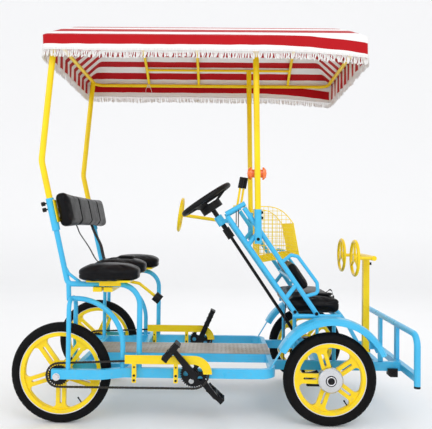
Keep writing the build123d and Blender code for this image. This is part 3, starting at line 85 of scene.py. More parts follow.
def set_camera():
    yaw, pitch, roll = (math.radians(a) for a in (YAW_DEG, PITCH_DEG, ROLL_DEG))
    ahead = Vector((-math.sin(yaw) * math.cos(pitch), math.cos(yaw) * math.cos(pitch), math.sin(pitch)))
    right = ahead.cross(Vector((0, 0, 1))).normalized()
    up = right.cross(ahead)
    right, up = right * math.cos(roll) + up * math.sin(roll), up * math.cos(roll) - right * math.sin(roll)
    data = bpy.data.cameras.new("camera")
    data.sensor_fit = "HORIZONTAL"
    data.sensor_width = SENSOR_MM
    data.lens = SENSOR_MM * FOCAL_PX / PHOTO_W
    camera = bpy.data.objects.new("camera", data)
    camera.matrix_world = Matrix((
        (right.x, up.x, -ahead.x, CAMERA_AT.x),
        (right.y, up.y, -ahead.y, CAMERA_AT.y),
        (right.z, up.z, -ahead.z, CAMERA_AT.z),
        (0, 0, 0, 1),
    ))
    bpy.context.scene.collection.objects.link(camera)
    bpy.context.scene.camera = camera


def set_light():
    world = bpy.data.worlds.new("studio")
    world.use_nodes = True
    back = world.node_tree.nodes["Background"]
    back.inputs["Color"].default_value = (0.98, 0.985, 1.0, 1)
    back.inputs["Strength"].default_value = 1.0
    bpy.context.scene.world = world
    bpy.context.scene.view_settings.view_transform = "Standard"
    for name, at, size, watts in (
        ("key", (1.4, -4.4, 4.2), 2.2, 62),
        ("fill", (-3.4, -3.2, 2.2), 2.0, 20),
        ("back", (0.4, 3.6, 4.4), 3.0, 30),
    ):
        data = bpy.data.lights.new(name, "AREA")
        data.size = size
        data.energy = watts
        lamp = bpy.data.objects.new(name, data)
        lamp.location = at
        lamp.rotation_euler = (Vector((0, 0, 0.9)) - Vector(at)).to_track_quat("-Z", "Y").to_euler()
        bpy.context.scene.collection.objects.link(lamp)


# Finishes
class Wire:
    """A socket in a finish's node tree, so that sums on it can be written as they are read."""

    def __init__(self, finish, socket):
        self.finish = finish
        self.socket = socket

    def _sum(self, operation, first, second):
        return self.finish.node("ShaderNodeMath", {"operation": operation}, {0: first, 1: second})

    def __add__(self, other):
        return self._sum("ADD", self, other)

    def __radd__(self, other):
        return self._sum("ADD", other, self)

    def __sub__(self, other):
        return self._sum("SUBTRACT", self, other)

    def __rsub__(self, other):
        return self._sum("SUBTRACT", other, self)

    def __mul__(self, other):
        return self._sum("MULTIPLY", self, other)

    def __rmul__(self, other):
        return self._sum("MULTIPLY", other, self)

    def __truediv__(self, other):
        return self._sum("DIVIDE", self, other)

    def __mod__(self, other):
        return self._sum("FLOORED_MODULO", self, other)

    def __abs__(self):
        return self._sum("ABSOLUTE", self, 0.0)

    def __lt__(self, other):
        return self._sum("LESS_THAN", self, other)

    def __gt__(self, other):
        return self._sum("GREATER_THAN", self, other)


class Finish:
    """A painted, moulded or woven surface built from nodes."""

    def __init__(self, name, constants):
        self.material = bpy.data.materials.new(name)
        self.material.use_nodes = True
        self.tree = self.material.node_tree
        self.shader = self.tree.nodes["Principled BSDF"]
        for socket, value in constants.items():
            self.shader.inputs[socket].default_value = value

    def node(self, kind, settings, sockets, output=0):
        made = self.tree.nodes.new(kind)
        for key, value in settings.items():
            if key == "stops":
                self.set_stops(made.color_ramp, value)
            else:
                setattr(made, key, value)
        for key, value in sockets.items():
            self.feed(made.inputs[key], value)
        return Wire(self, made.outputs[output])

    def set_stops(self, ramp, stops):
        while len(ramp.elements) < len(stops):
            ramp.elements.new(0.5)
        for element, (at, colour) in zip(ramp.elements, stops):
            element.position = at
            element.color = colour

    def feed(self, socket, value):
        if isinstance(value, Wire):
            self.tree.links.new(value.socket, socket)
        else:
            socket.default_value = value

    def show(self, socket, value):
        self.feed(self.shader.inputs[socket], value)

    def place(self):
        return self.node("ShaderNodeTexCoord", {}, {}, "Object")

    def axes(self):
        place = self.place()
        return [self.node("ShaderNodeSeparateXYZ", {}, {0: place}, axis) for axis in ("X", "Y", "Z")]

    def noise(self, scale, detail=3.0, stretch=None):
        place = self.place()
        if stretch:
            place = self.node("ShaderNodeVectorMath", {"operation": "MULTIPLY"}, {0: place, 1: stretch})
        return self.node("ShaderNodeTexNoise", {}, {"Vector": place, "Scale": scale, "Detail": detail}, "Fac")

    def ramp(self, value, stops):
        grey = [(at, (v, v, v, 1)) for at, v in stops]
        return self.node("ShaderNodeValToRGB", {"stops": grey}, {0: value})

    def mix(self, share, first, second):
        return self.node("ShaderNodeMix", {"data_type": "RGBA"}, {0: share, 6: first, 7: second}, 2)

    def bump(self, height, strength, distance):
        sockets = {"Height": height, "Strength": strength, "Distance": distance}
        self.show("Normal", self.node("ShaderNodeBump", {}, sockets))

    def wave(self, direction, scale):
        sockets = {"Vector": self.place(), "Scale": scale}
        return self.node("ShaderNodeTexWave", {"bands_direction": direction}, sockets, "Fac")


def rgb(red, green, blue):
    return (red, green, blue, 1.0)


def dimmed(colour, share):
    return rgb(*(part * share for part in colour[:3]))


def paint(name, colour, shade, dust=0.25):
    """Gloss paint over tube: faint patches of painted shade (a darker, shaded copy of the colour) laid in by
    noise, orange peel and road dust low down.
    """
    finish = Finish(name, {"Coat Weight": 0.15, "Coat Roughness": 0.08, "Specular IOR Level": 0.3})
    drift = finish.noise(7.0, 4.0)
    # painted shade: the shade colour is the paint as it looks in shade, mixed in wherever the drift noise runs
    # high
    body = finish.mix(finish.ramp(drift, [(0.35, 0.0), (0.7, 1.0)]), colour, shade)
    height = finish.axes()[2]
    speckle = finish.ramp(finish.noise(60.0, 6.0), [(0.5, 0.0), (0.72, 1.0)])
    low = finish.ramp(height, [(0.05, 1.0), (0.45, 0.0)])
    finish.show("Base Color", finish.mix(speckle * low * dust, body, rgb(0.33, 0.29, 0.24)))
    finish.show("Roughness", 0.24 + finish.noise(23.0) * 0.1 + speckle * low * 0.2)
    finish.bump(finish.noise(420.0, 2.0), 0.05, 0.0006)
    return finish.material


def rubber(name, colour, dusty):
    finish = Finish(name, {"IOR": 1.22, "Specular IOR Level": 0.3})
    dust = finish.ramp(finish.noise(38.0, 5.0), [(0.45, 0.0), (0.75, 1.0)])
    finish.show("Base Color", finish.mix(dust * dusty, colour, rgb(0.018, 0.0175, 0.0165)))
    finish.show("Roughness", 0.62 + dust * 0.2)
    finish.bump(finish.noise(900.0, 3.0), 0.12, 0.0006)
    return finish.material


def vinyl(name):
    """Stuffed black vinyl with a fine pebbled grain and soft wrinkles."""
    gloss = {"IOR": 1.22, "Specular IOR Level": 0.4, "Coat Weight": 0.015, "Coat Roughness": 0.12}
    finish = Finish(name, gloss)
    cells = {"Vector": finish.place(), "Scale": 480.0}
    grain = finish.node("ShaderNodeTexVoronoi", {"feature": "F1"}, cells, "Distance")
    worn = finish.ramp(finish.noise(14.0, 4.0), [(0.45, 0.0), (0.75, 1.0)])
    finish.show("Base Color", finish.mix(worn * 0.5, rgb(0.005, 0.005, 0.006), rgb(0.013, 0.013, 0.014)))
    finish.show("Roughness", 0.3 + worn * 0.14 + grain * 0.06)
    finish.bump(grain * 0.6 + finish.noise(55.0, 2.0) * 0.8, 0.18, 0.0012)
    return finish.material


def bare_metal(name, colour, rough, brushed=None):
    finish = Finish(name, {"Metallic": 1.0})
    streak = finish.noise(90.0, 4.0, brushed or (1.0, 1.0, 1.0))
    finish.show("Base Color", finish.mix(streak * 0.35, colour, dimmed(colour, 0.6)))
    finish.show("Roughness", rough + streak * 0.14)
    finish.bump(streak, 0.06, 0.0004)
    return finish.material


def black_metal(name):
    finish = Finish(name, {"Specular IOR Level": 0.18})
    scuff = finish.ramp(finish.noise(46.0, 6.0), [(0.58, 0.0), (0.72, 1.0)])
    finish.show("Base Color", finish.mix(scuff * 0.4, rgb(0.006, 0.006, 0.007), rgb(0.04, 0.039, 0.037)))
    finish.show("Roughness", 0.3 + scuff * 0.25)
    finish.bump(finish.noise(300.0), 0.05, 0.0005)
    return finish.material


def moulded(name, colour, rough):
    finish = Finish(name, {"Specular IOR Level": 0.18})
    mottle = finish.noise(30.0, 4.0)
    finish.show("Base Color", finish.mix(mottle * 0.5, colour, dimmed(colour, 0.7)))
    finish.show("Roughness", rough + mottle * 0.12)
    finish.bump(finish.noise(700.0, 2.0), 0.1, 0.0005)
    return finish.material


def amber_lens(name):
    """Ribbed amber plastic of the signal lamp."""
    finish = Finish(name, {"Specular IOR Level": 0.6, "Coat Weight": 0.4})
    ribs = abs((finish.axes()[2] * 130.0) % 1.0 - 0.5)
    finish.show("Base Color", finish.mix(ribs, rgb(0.95, 0.16, 0.012), rgb(1.0, 0.27, 0.03)))
    finish.show("Roughness", 0.18 + finish.noise(40.0) * 0.1)
    finish.bump(ribs, 0.3, 0.001)
    return finish.material


# Canopy outline, read from its solid
CANOPY_LOW, CANOPY_HIGH = (corner.copy() for corner in box("canopy_cloth"))
CANOPY_LOW.x -= 24 * MM
CANOPY_HIGH.x += 6 * MM
CANOPY_MID = (CANOPY_LOW + CANOPY_HIGH) / 2
CANOPY_HALF_X = (CANOPY_HIGH.x - CANOPY_LOW.x) / 2
CANOPY_HALF_Y = (CANOPY_HIGH.y - CANOPY_LOW.y) / 2
EAVE_DROP = 172 * MM
EAVE_Z = CANOPY_HIGH.z - EAVE_DROP
HIP = 190 * MM
CANOPY_CORNER = 30 * MM
FRINGE_H = 48 * MM
FRONT_DROOP = 30 * MM
BAND_DROOP = 44 * MM
DROOP_FROM_X = 200 * MM
CLOTH_HEM_Z = CANOPY_LOW.z + FRINGE_H
ROOF_R = (CANOPY_HALF_Y**2 + EAVE_DROP**2) / (2 * EAVE_DROP)
STRIPE = 52 * MM
BAND_RED = (EAVE_Z - 46 * MM, EAVE_Z + 10 * MM)
BOWS_X = (-472 * MM, -132 * MM, 476 * MM)
BAR_Y = 390 * MM


def canopy_fabric(name):
    """Striped coated cloth: lengthwise on the roof, up and down on the ends, in bands on the sides."""
    finish = Finish(name, {"Specular IOR Level": 0.15, "Sheen Weight": 0.05})
    x, y, z = finish.axes()
    from_side = CANOPY_HALF_Y - abs(y - CANOPY_MID.y)
    from_end = CANOPY_HALF_X - abs(x - CANOPY_MID.x)
    wander = (finish.noise(9.0, 2.0) - 0.5) * 0.006
    roof_red = ((from_side + wander) % (2 * STRIPE)) > STRIPE
    ahead = finish.node("ShaderNodeMath", {"operation": "MAXIMUM"}, {0: x - DROOP_FROM_X, 1: 0.0})
    reach = CANOPY_HIGH.x - DROOP_FROM_X
    level = z + wander + ahead * ahead * (BAND_DROOP / reach**2)
    below_eave = level < BAND_RED[1]
    on_side = below_eave * (from_side < from_end)
    band_red = (level > BAND_RED[0]) * below_eave
    red = on_side * band_red + (1 - on_side) * roof_red
    fade = finish.noise(5.0, 3.0)
    deep = finish.mix(fade, rgb(0.42, 0.002, 0.006), rgb(0.50, 0.003, 0.009))
    pale = finish.mix(fade, rgb(0.90, 0.89, 0.88), rgb(0.80, 0.79, 0.78))
    finish.show("Base Color", finish.mix(red, pale, deep))
    finish.show("Roughness", 0.5 + fade * 0.15)
    weave = finish.wave("X", 300.0) * 0.5 + finish.wave("Y", 300.0) * 0.5
    finish.bump(weave + finish.noise(12.0, 3.0) * 6.0, 0.25, 0.0012)
    return finish.material


def fringe_thread(name):
    finish = Finish(name, {"Specular IOR Level": 0.2, "Sheen Weight": 0.3})
    strand = finish.noise(240.0, 3.0, (1.0, 1.0, 0.06))
    finish.show("Base Color", finish.mix(strand, rgb(0.90, 0.89, 0.87), rgb(0.62, 0.61, 0.60)))
    finish.show("Roughness", 0.75 + strand * 0.15)
    finish.bump(strand, 0.5, 0.001)
    return finish.material


def checker_metal(name):
    finish = Finish(name, {"Metallic": 0.75})
    scratch = finish.noise(60.0, 6.0, (0.2, 2.0, 1.0))
    grime = finish.ramp(finish.noise(4.0, 4.0), [(0.4, 0.0), (0.68, 1.0)])
    clean = finish.mix(scratch, rgb(0.50, 0.49, 0.47), rgb(0.30, 0.295, 0.285))
    finish.show("Base Color", finish.mix(grime * 0.75, clean, rgb(0.30, 0.235, 0.15)))
    finish.show("Roughness", 0.36 + scratch * 0.22 + grime * 0.15)
    finish.bump(scratch, 0.1, 0.0008)
    return finish.material


def webbing(name):
    finish = Finish(name, {"Specular IOR Level": 0.3})
    rows = finish.wave("DIAGONAL", 400.0)
    finish.show("Base Color", finish.mix(rows, rgb(0.010, 0.010, 0.011), rgb(0.028, 0.028, 0.03)))
    finish.show("Roughness", 0.6 + rows * 0.15)
    finish.bump(rows, 0.4, 0.0008)
    return finish.material


# the second colour of each paint is painted shade, a darker shaded copy of the first
BLUE = paint("sky_blue_paint", rgb(0.060, 0.50, 0.82), rgb(0.052, 0.46, 0.77))
YELLOW = paint("bright_yellow_paint", rgb(0.96, 0.71, 0.004), rgb(0.90, 0.62, 0.003))
TYRE = rubber("tyre_rubber", rgb(0.006, 0.006, 0.0065), 0.3)
VINYL = vinyl("black_vinyl")
CLOTH = canopy_fabric("striped_canopy")
FRINGE = fringe_thread("white_fringe")
DECK = checker_metal("checker_deck")
BRIGHT = bare_metal("polished_steel", rgb(0.78, 0.78, 0.80), 0.12)
SPUN = bare_metal("spun_aluminium", rgb(0.72, 0.73, 0.75), 0.2, (6.0, 0.3, 6.0))
BLACK = black_metal("black_enamel")
CHAIN_STEEL = bare_metal("oiled_chain_steel", rgb(0.06, 0.056, 0.052), 0.36)
MOULDED = moulded("black_moulding", rgb(0.008, 0.008, 0.009), 0.42)
GRIP = rubber("grip_rubber", rgb(0.007, 0.007, 0.008), 0.12)
AMBER = amber_lens("amber_lens")
WEBBING = webbing("belt_webbing")
SLOT_FINISH = {
    "blue_paint": BLUE,
    "yellow_paint": YELLOW,
    "tyre": TYRE,
    "black_vinyl": VINYL,
    "canopy_cloth": CLOTH,
    "deck_metal": DECK,
    "bright_steel": BRIGHT,
    "black_steel": BLACK,
    "black_plastic": MOULDED,
    "amber_plastic": AMBER,
}


def dress_nodes():
    for part in frame["record"]["subparts"]:
        piece = nodes[part["node"]].data
        piece.materials.clear()
        piece.materials.append(SLOT_FINISH[part["material_slot"]])
    for side in SIDES:
        cover = nodes[f"front_hub_cover_{side}"].data
        cover.materials.clear()
        cover.materials.append(SPUN)


# Mesh helpers
SHARP_DEG = 35


class Shape:
    """Points and faces gathered from several small forms into one piece."""

    def __init__(self):
        self.points = []
        self.faces = []

    def add(self, points, faces):
        first = len(self.points)
        self.points += [Vector(p) for p in points]
        self.faces += [[first + i for i in face] for face in faces]

    def loops(self, rings, closed_ring=True, joined=False, caps=False):
        """Skins a list of equal rings of points."""
        count = len(rings[0])
        points = [p for ring in rings for p in ring]
        faces = []
        spans = len(rings) if joined else len(rings) - 1
        steps = count if closed_ring else count - 1
        for k in range(spans):
            here, there = k * count, (k + 1) % len(rings) * count
            for i in range(steps):
                j = (i + 1) % count
                faces.append([here + i, here + j, there + j, there + i])
        if caps:
            faces.append(list(range(count))[::-1])
            faces.append([(len(rings) - 1) * count + i for i in range(count)])
        self.add(points, faces)

    def tube(self, route, radius, sides=8, joined=False):
        route = [Vector(p) for p in route]
        rings = []
        normal = None
        for k, point in enumerate(route):
            before = route[k - 1] if k or joined else route[k]
            after = route[(k + 1) % len(route)] if k + 1 < len(route) or joined else route[k]
            along = (after - before).normalized()
            if normal is None:
                normal = along.orthogonal().normalized()
            normal = (normal - along * normal.dot(along)).normalized()
            across = along.cross(normal)
            ring = []
            for i in range(sides):
                angle = 2 * math.pi * i / sides
                ring.append(point + (normal * math.cos(angle) + across * math.sin(angle)) * radius)
            rings.append(ring)
        self.loops(rings, joined=joined, caps=not joined)

    def prism(self, outline, at, across, up, along, depth):
        """A flat outline of (a, b) points pushed out both ways along its normal."""
        rings = []
        for lift in (-depth / 2, depth / 2):
            rings.append([at + across * a + up * b + along * lift for a, b in outline])
        self.loops(rings, caps=True)

    def lathe(self, profile, at, along, steps=48, joined=False):
        """Turns a profile of (radius, distance) points about an axis."""
        along = Vector(along).normalized()
        side = along.orthogonal().normalized()
        other = along.cross(side)
        rings = []
        for k in range(steps):
            angle = 2 * math.pi * k / steps
            out = side * math.cos(angle) + other * math.sin(angle)
            rings.append([Vector(at) + out * r + along * d for r, d in profile])
        self.loops(rings, closed_ring=joined, joined=True)

    def make(self, name, finish, body, smooth=True):
        mesh = bpy.data.meshes.new(name)
        mesh.from_pydata([tuple(p) for p in self.points], [], self.faces)
        mesh.validate()
        tidy(mesh)
        if smooth:
            mesh.polygons.foreach_set("use_smooth", [True] * len(mesh.polygons))
            mesh.set_sharp_from_angle(angle=math.radians(SHARP_DEG))
        mesh.materials.append(finish)
        piece = bpy.data.objects.new(name, mesh)
        bpy.context.scene.collection.objects.link(piece)
        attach(piece, body)
        return piece


def tidy(mesh, weld=0.0):
    """Faces all look outward; points closer than the weld distance become one."""
    work = bmesh.new()
    work.from_mesh(mesh)
    if weld:
        bmesh.ops.remove_doubles(work, verts=work.verts, dist=weld)
    bmesh.ops.recalc_face_normals(work, faces=work.faces)
    work.to_mesh(mesh)
    work.free()


def ring_outline(radius, sides):
    turns = [2 * math.pi * i / sides for i in range(sides)]
    return [(radius * math.cos(turn), radius * math.sin(turn)) for turn in turns]


# Wheels: treaded tyres, bright rim edges, valves and hub nuts
TREAD_STEPS = 288
TREAD_DEPTH = 2.2 * MM
RIB_DEG = 9
GROOVE_DEG = 14
SHOULDER_DEG = 54
BLOCK_STEPS = 6
VALVE_AT = math.radians(304)
VALVE = ((0, -2), (3.2, -2), (3.2, 24), (4, 25), (4, 33), (0, 35))


def tyre(end, side):
    node = f"{end}_tyre_{side}"
    mid, size = middle(node), half_size(node)
    section = size.y
    core_r = size.x - section
    bead_r = half_size(f"{end}_rim_{side}").x + 0.3 * MM
    last = math.degrees(math.acos((bead_r - core_r) / section))
    turns = [-last, -105, -88, -72, -60, -SHOULDER_DEG, -44, -34, -24]
    turns += [-GROOVE_DEG, -GROOVE_DEG + 1.5, -RIB_DEG]
    turns += [-RIB_DEG + 1.5, 0] + [-a for a in reversed(turns)]
    turns = sorted(set(turns + [RIB_DEG - 1.5]))
    shape = Shape()
    rings = []
    for k in range(TREAD_STEPS):
        wheel = 2 * math.pi * k / TREAD_STEPS
        ring = []
        for turn in turns:
            r = core_r + section * math.cos(math.radians(turn))
            y = section * math.sin(math.radians(turn))
            size_deg = abs(turn)
            in_groove = RIB_DEG < size_deg < GROOVE_DEG
            shift = BLOCK_STEPS // 2 if turn > 0 else 0
            in_cut = GROOVE_DEG <= size_deg <= SHOULDER_DEG and (k + shift) % BLOCK_STEPS == 0
            if in_groove or in_cut:
                r -= TREAD_DEPTH * math.cos(math.radians(turn))
                y -= TREAD_DEPTH * math.sin(math.radians(turn))
            ring.append(mid + Vector((r * math.cos(wheel), y, r * math.sin(wheel))))
        rings.append(ring)
    shape.loops(rings, joined=True)
    piece = shape.make(f"{node}_treaded", TYRE, f"{end}_wheel_{side}")
    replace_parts(piece, node)


def rim_edge(end, side):
    """Bright machined lips where the tyre meets the rim, and the valve stem."""
    node = f"{end}_rim_{side}"
    mid = middle(node)
    rim_r, rim_half = half_size(node).x, 19 * MM
    shape = Shape()
    for way in (-1, 1):
        lip = [(-2.0, -0.4), (-2.0, 0.5), (-0.6, 1.1), (1.4, 1.3), (1.4, 0.1), (0.5, -0.4)]
        profile = [(rim_r + r * MM, way * (rim_half + d * MM)) for r, d in lip]
        shape.lathe(profile, mid, (0, 1, 0), steps=96, joined=True)
    shape.make(f"{node}_lip", BRIGHT, f"{end}_wheel_{side}")
    valve = Shape()
    way = Vector((math.cos(VALVE_AT), 0, math.sin(VALVE_AT)))
    root = mid + way * (rim_r - 21 * MM)
    valve.lathe([(r * MM, d * MM) for r, d in VALVE], root, -way, steps=12)
    valve.make(f"{node}_valve", GRIP, f"{end}_wheel_{side}")


def hex_bolt(shape, at, along, across, height):
    """A hexagon head on a round washer."""
    along = Vector(along).normalized()
    side = along.orthogonal().normalized()
    other = along.cross(side)
    at = Vector(at)
    washer = ring_outline(across * 0.78, 18)
    shape.prism(washer, at + along * (height * 0.12), side, other, along, height * 0.24)
    head = ring_outline(across * 0.56, 6)
    rings = []
    for lift, share in ((0.2, 1.0), (0.9, 1.0), (1.0, 0.88)):
        level = at + along * (height * lift)
        rings.append([level + side * (a * share) + other * (b * share) for a, b in head])
    shape.loops(rings, caps=True)


def front_hub_centre(side):
    """Black bearing cap and nut in the middle of the polished cover."""
    mid = middle(f"front_hub_cover_{side}")
    low, high = box(f"front_hub_cover_{side}")
    way = OUTWARD[side]
    face = Vector((mid.x, high.y if way > 0 else low.y, mid.z))
    shape = Shape()
    cap = [(0, 3.0), (8, 3.0), (10, 1.6), (15, 1.6), (16.5, 3.0), (24, 3.0), (28, 1.0), (28, -2.5)]
    shape.lathe([(r * MM, d * MM) for r, d in cap], face, (0, way, 0), steps=40)
    shape.make(f"front_bearing_{side}", BLACK, f"front_wheel_{side}")
    ring = Shape()
    bead = [(17.6, 3.1), (19.0, 4.0), (22, 4.0), (23.2, 3.1)]
    ring.lathe([(r * MM, d * MM) for r, d in bead], face, (0, way, 0), steps=40)
    ring.make(f"front_bearing_ring_{side}", BRIGHT, f"front_wheel_{side}")


# Drive: roller chain and pedal blocks
CHAIN_PITCH = 12.7 * MM
CHAIN_LIFT = 5.5 * MM
RING_R = 69 * MM
PLATE_R = 5.2 * MM
PLATE_WAIST = 4.4 * MM
PLATE_T = 0.9 * MM
INNER_GAP = 2.3 * MM
OUTER_GAP = 3.4 * MM
ROLLER_R = 3.7 * MM


def chain_route(rear, front, rear_r, front_r):
    """Points and tangents at every pin round both sprockets."""
    span = math.hypot(front.x - rear.x, front.z - rear.z)
    lean = math.atan2(front.z - rear.z, front.x - rear.x)
    open_by = math.acos((rear_r - front_r) / span)
    run = math.sqrt(span**2 - (rear_r - front_r) ** 2)
    front_arc, rear_arc = front_r * 2 * open_by, rear_r * (2 * math.pi - 2 * open_by)
    total = 2 * run + front_arc + rear_arc
    count = 2 * round(total / CHAIN_PITCH / 2)

    def on(centre, r, angle):
        return Vector((centre.x + r * math.cos(angle), centre.y, centre.z + r * math.sin(angle)))

    pins = []
    for k in range(count):
        s = total * k / count
        if s < run:
            a, b = on(rear, rear_r, lean + open_by), on(front, front_r, lean + open_by)
            pins.append(a.lerp(b, s / run))
        elif s < run + front_arc:
            pins.append(on(front, front_r, lean + open_by - (s - run) / front_r))
        elif s < 2 * run + front_arc:
            a, b = on(front, front_r, lean - open_by), on(rear, rear_r, lean - open_by)
            pins.append(a.lerp(b, (s - run - front_arc) / run))
        else:
            pins.append(on(rear, rear_r, lean - open_by - (s - 2 * run - front_arc) / rear_r))
    return pins


def link_outline(length):
    outline = []
    for end, start in ((length / 2, -90), (-length / 2, 90)):
        for step in range(6):
            angle = math.radians(start + step * 36)
            outline.append((end + PLATE_R * math.cos(angle), PLATE_R * math.sin(angle)))
        waist = PLATE_WAIST if end > 0 else -PLATE_WAIST
        outline.append((0, waist))
    return outline


def chain(shape, side):
    rear = middle(f"rear_sprocket_{side}")
    rear_r = half_size(f"rear_sprocket_{side}").x + CHAIN_LIFT
    plane_y = box(f"rear_sprocket_{side}")[0].y + 4 * MM
    rear = Vector((rear.x, plane_y, rear.z))
    front_joint = [j for j in frame["joints"] if j["name"] == f"crank_{side}_spin"][0]
    front = Vector((front_joint["pos_m"][0], plane_y, front_joint["pos_m"][2]))
    pins = chain_route(rear, front, rear_r, RING_R + CHAIN_LIFT)
    sideways = Vector((0, 1, 0))
    for k, pin in enumerate(pins):
        after = pins[(k + 1) % len(pins)]
        along = (after - pin).normalized()
        up = along.cross(sideways)
        gap = INNER_GAP if k % 2 else OUTER_GAP
        outline = link_outline((after - pin).length)
        for way in (-1, 1):
            shape.prism(outline, (pin + after) / 2 + sideways * (way * gap), along, up, sideways, PLATE_T)
        shape.prism(ring_outline(ROLLER_R, 8), pin, along, up, sideways, 2 * OUTER_GAP + PLATE_T)


def pedal_grips(name):
    """Raised rubber ribs on both faces of a pedal."""
    low, high = box(name)
    joint = [j for j in frame["joints"] if j["child"] == name][0]
    centre = Vector(joint["pos_m"])
    turn = PEDAL_TURNS[name]
    along = Vector((math.cos(turn), 0, math.sin(turn)))
    up = Vector((-math.sin(turn), 0, math.cos(turn)))
    shape = Shape()
    half_y = (high.y - low.y) / 2 - 4 * MM
    mid = Vector((centre.x, (low.y + high.y) / 2, centre.z))
    for face in (-1, 1):
        for a in PEDAL_RIBS:
            rib = [(-2.5 * MM, 0), (2.5 * MM, 0), (1.6 * MM, 2.6 * MM), (-1.6 * MM, 2.6 * MM)]
            place = mid + along * (a * MM) + up * (face * 14 * MM)
            shape.prism([(x, face * z) for x, z in rib], place, along, up, Vector((0, 1, 0)), 2 * half_y)
    shape.make(f"{name}_ribs", GRIP, name)


PEDAL_RIBS = (-48, -12.5, 12.5, 48)
PEDAL_TURNS = {
    "pedal_right_chain_side": math.radians(50),
    "pedal_right_free_side": math.radians(-42),
    "pedal_left_chain_side": math.radians(66),
    "pedal_left_free_side": math.radians(20),
}


# Deck: raised lozenges in alternating rows
LOZENGE = (13 * MM, 3.6 * MM, 1.3 * MM)
LOZENGE_PITCH = 24 * MM


def deck_lozenges():
    low, high = box("deck_plate")
    shape = Shape()
    half_l, half_w, rise = LOZENGE
    rows = int((high.y - low.y) / LOZENGE_PITCH)
    columns = int((high.x - low.x) / LOZENGE_PITCH)
    for row in range(rows):
        for column in range(columns):
            at = Vector((low.x + (column + 0.5) * LOZENGE_PITCH, low.y + (row + 0.7) * LOZENGE_PITCH, high.z))
            turn = math.radians(45 if (row + column) % 2 else -45)
            along = Vector((math.cos(turn), math.sin(turn), 0))
            across = Vector((-along.y, along.x, 0))
            base = [along * half_l, across * half_w, -along * half_l, -across * half_w]
            crest = [p * 0.45 for p in base]
            shape.loops([[at + p for p in base], [at + p + Vector((0, 0, rise)) for p in crest]], caps=True)
    piece = shape.make("deck_lozenges", DECK, "frame", smooth=False)
    return piece


# Basket of welded wire with bowed ends
WIRE_R = 1.4 * MM
EDGE_WIRE_R = 2.6 * MM
MESH_PITCH = 24 * MM
BASKET_BOW = 34 * MM


def wire_basket():
    low, high = box("basket")
    inset = 3 * MM
    rear = low.x + inset
    floor_rear = Vector((rear, 0, low.z + inset))
    floor_front = Vector((high.x - inset, 0, low.z + 41 * MM))
    top_front = Vector((high.x - 36 * MM, 0, low.z + 215 * MM))
    top_rear = Vector((rear, 0, high.z - inset))
    left, right = high.y - inset, low.y + inset
    shape = Shape()

    def at(point, y):
        return Vector((point.x, y, point.z))

    def top_edge(share):
        point = top_front.lerp(top_rear, share)
        out = Vector((top_front.z - top_rear.z, 0, top_rear.x - top_front.x)).normalized() * -1
        return point + out * (BASKET_BOW * math.sin(math.pi * share))

    brim = [top_edge(k / 14) for k in range(15)]
    for y in (right, left):
        shape.tube([at(p, y) for p in [floor_rear, floor_front, top_front]] , EDGE_WIRE_R)
        shape.tube([at(p, y) for p in brim], EDGE_WIRE_R)
        shape.tube([at(top_rear, y), at(floor_rear, y)], EDGE_WIRE_R)
    for point in (floor_rear, floor_front, top_front, top_rear):
        shape.tube([at(point, right), at(point, left)], EDGE_WIRE_R)
    for a, b in ((floor_rear, floor_front), (floor_front, top_front), (floor_rear, top_rear)):
        rows = max(2, round((b - a).length / MESH_PITCH))
        for k in range(1, rows):
            point = a.lerp(b, k / rows)
            shape.tube([at(point, right), at(point, left)], WIRE_R, 6)
        columns = round((left - right) / MESH_PITCH)
        for k in range(1, columns):
            y = right + (left - right) * k / columns
            shape.tube([at(a, y), at(b, y)], WIRE_R, 6)
    uprights = round((floor_front - floor_rear).length / MESH_PITCH)
    for y in (right, left):
        for k in range(1, uprights):
            foot = floor_rear.lerp(floor_front, k / uprights)
            shape.tube([at(foot, y), at(side_top(foot.x, brim, top_front, floor_front), y)], WIRE_R, 6)
        levels = round((top_rear.z - floor_rear.z) / MESH_PITCH)
        for k in range(1, levels):
            z = floor_rear.z + (top_rear.z - floor_rear.z) * k / levels
            front = side_front(z, brim, top_front, floor_front, floor_rear)
            start = Vector((rear, y, z))
            if front - rear > MESH_PITCH:
                shape.tube([start, Vector((front, y, z))], WIRE_R, 6)
    piece = shape.make("wire_basket", YELLOW, "frame")
    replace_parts(piece, "basket")


def side_top(x, brim, top_front, floor_front):
    """Highest point of the basket's end above a place on its floor."""
    if x > top_front.x:
        share = (floor_front.x - x) / (floor_front.x - top_front.x)
        return floor_front.lerp(top_front, share)
    for a, b in zip(brim, brim[1:]):
        if b.x <= x <= a.x:
            return a.lerp(b, (a.x - x) / (a.x - b.x))
    return brim[-1]


def side_front(z, brim, top_front, floor_front, floor_rear):
    """Foremost X of the basket's end at a height."""
    if z < floor_front.z:
        share = (z - floor_rear.z) / (floor_front.z - floor_rear.z)
        return floor_rear.x + share * (floor_front.x - floor_rear.x)
    if z < top_front.z:
        return floor_front.lerp(top_front, (z - floor_front.z) / (top_front.z - floor_front.z)).x
    for a, b in zip(brim, brim[1:]):
        if a.z <= z <= b.z:
            return a.lerp(b, (z - a.z) / (b.z - a.z)).x
    return brim[-1].x


# Canopy: one sheet over roof and valance, with a fringe
AROUND = 264
VALANCE_ROWS = 5
ROOF_ROWS = 26
SAG = 9 * MM
RIPPLE = 3 * MM


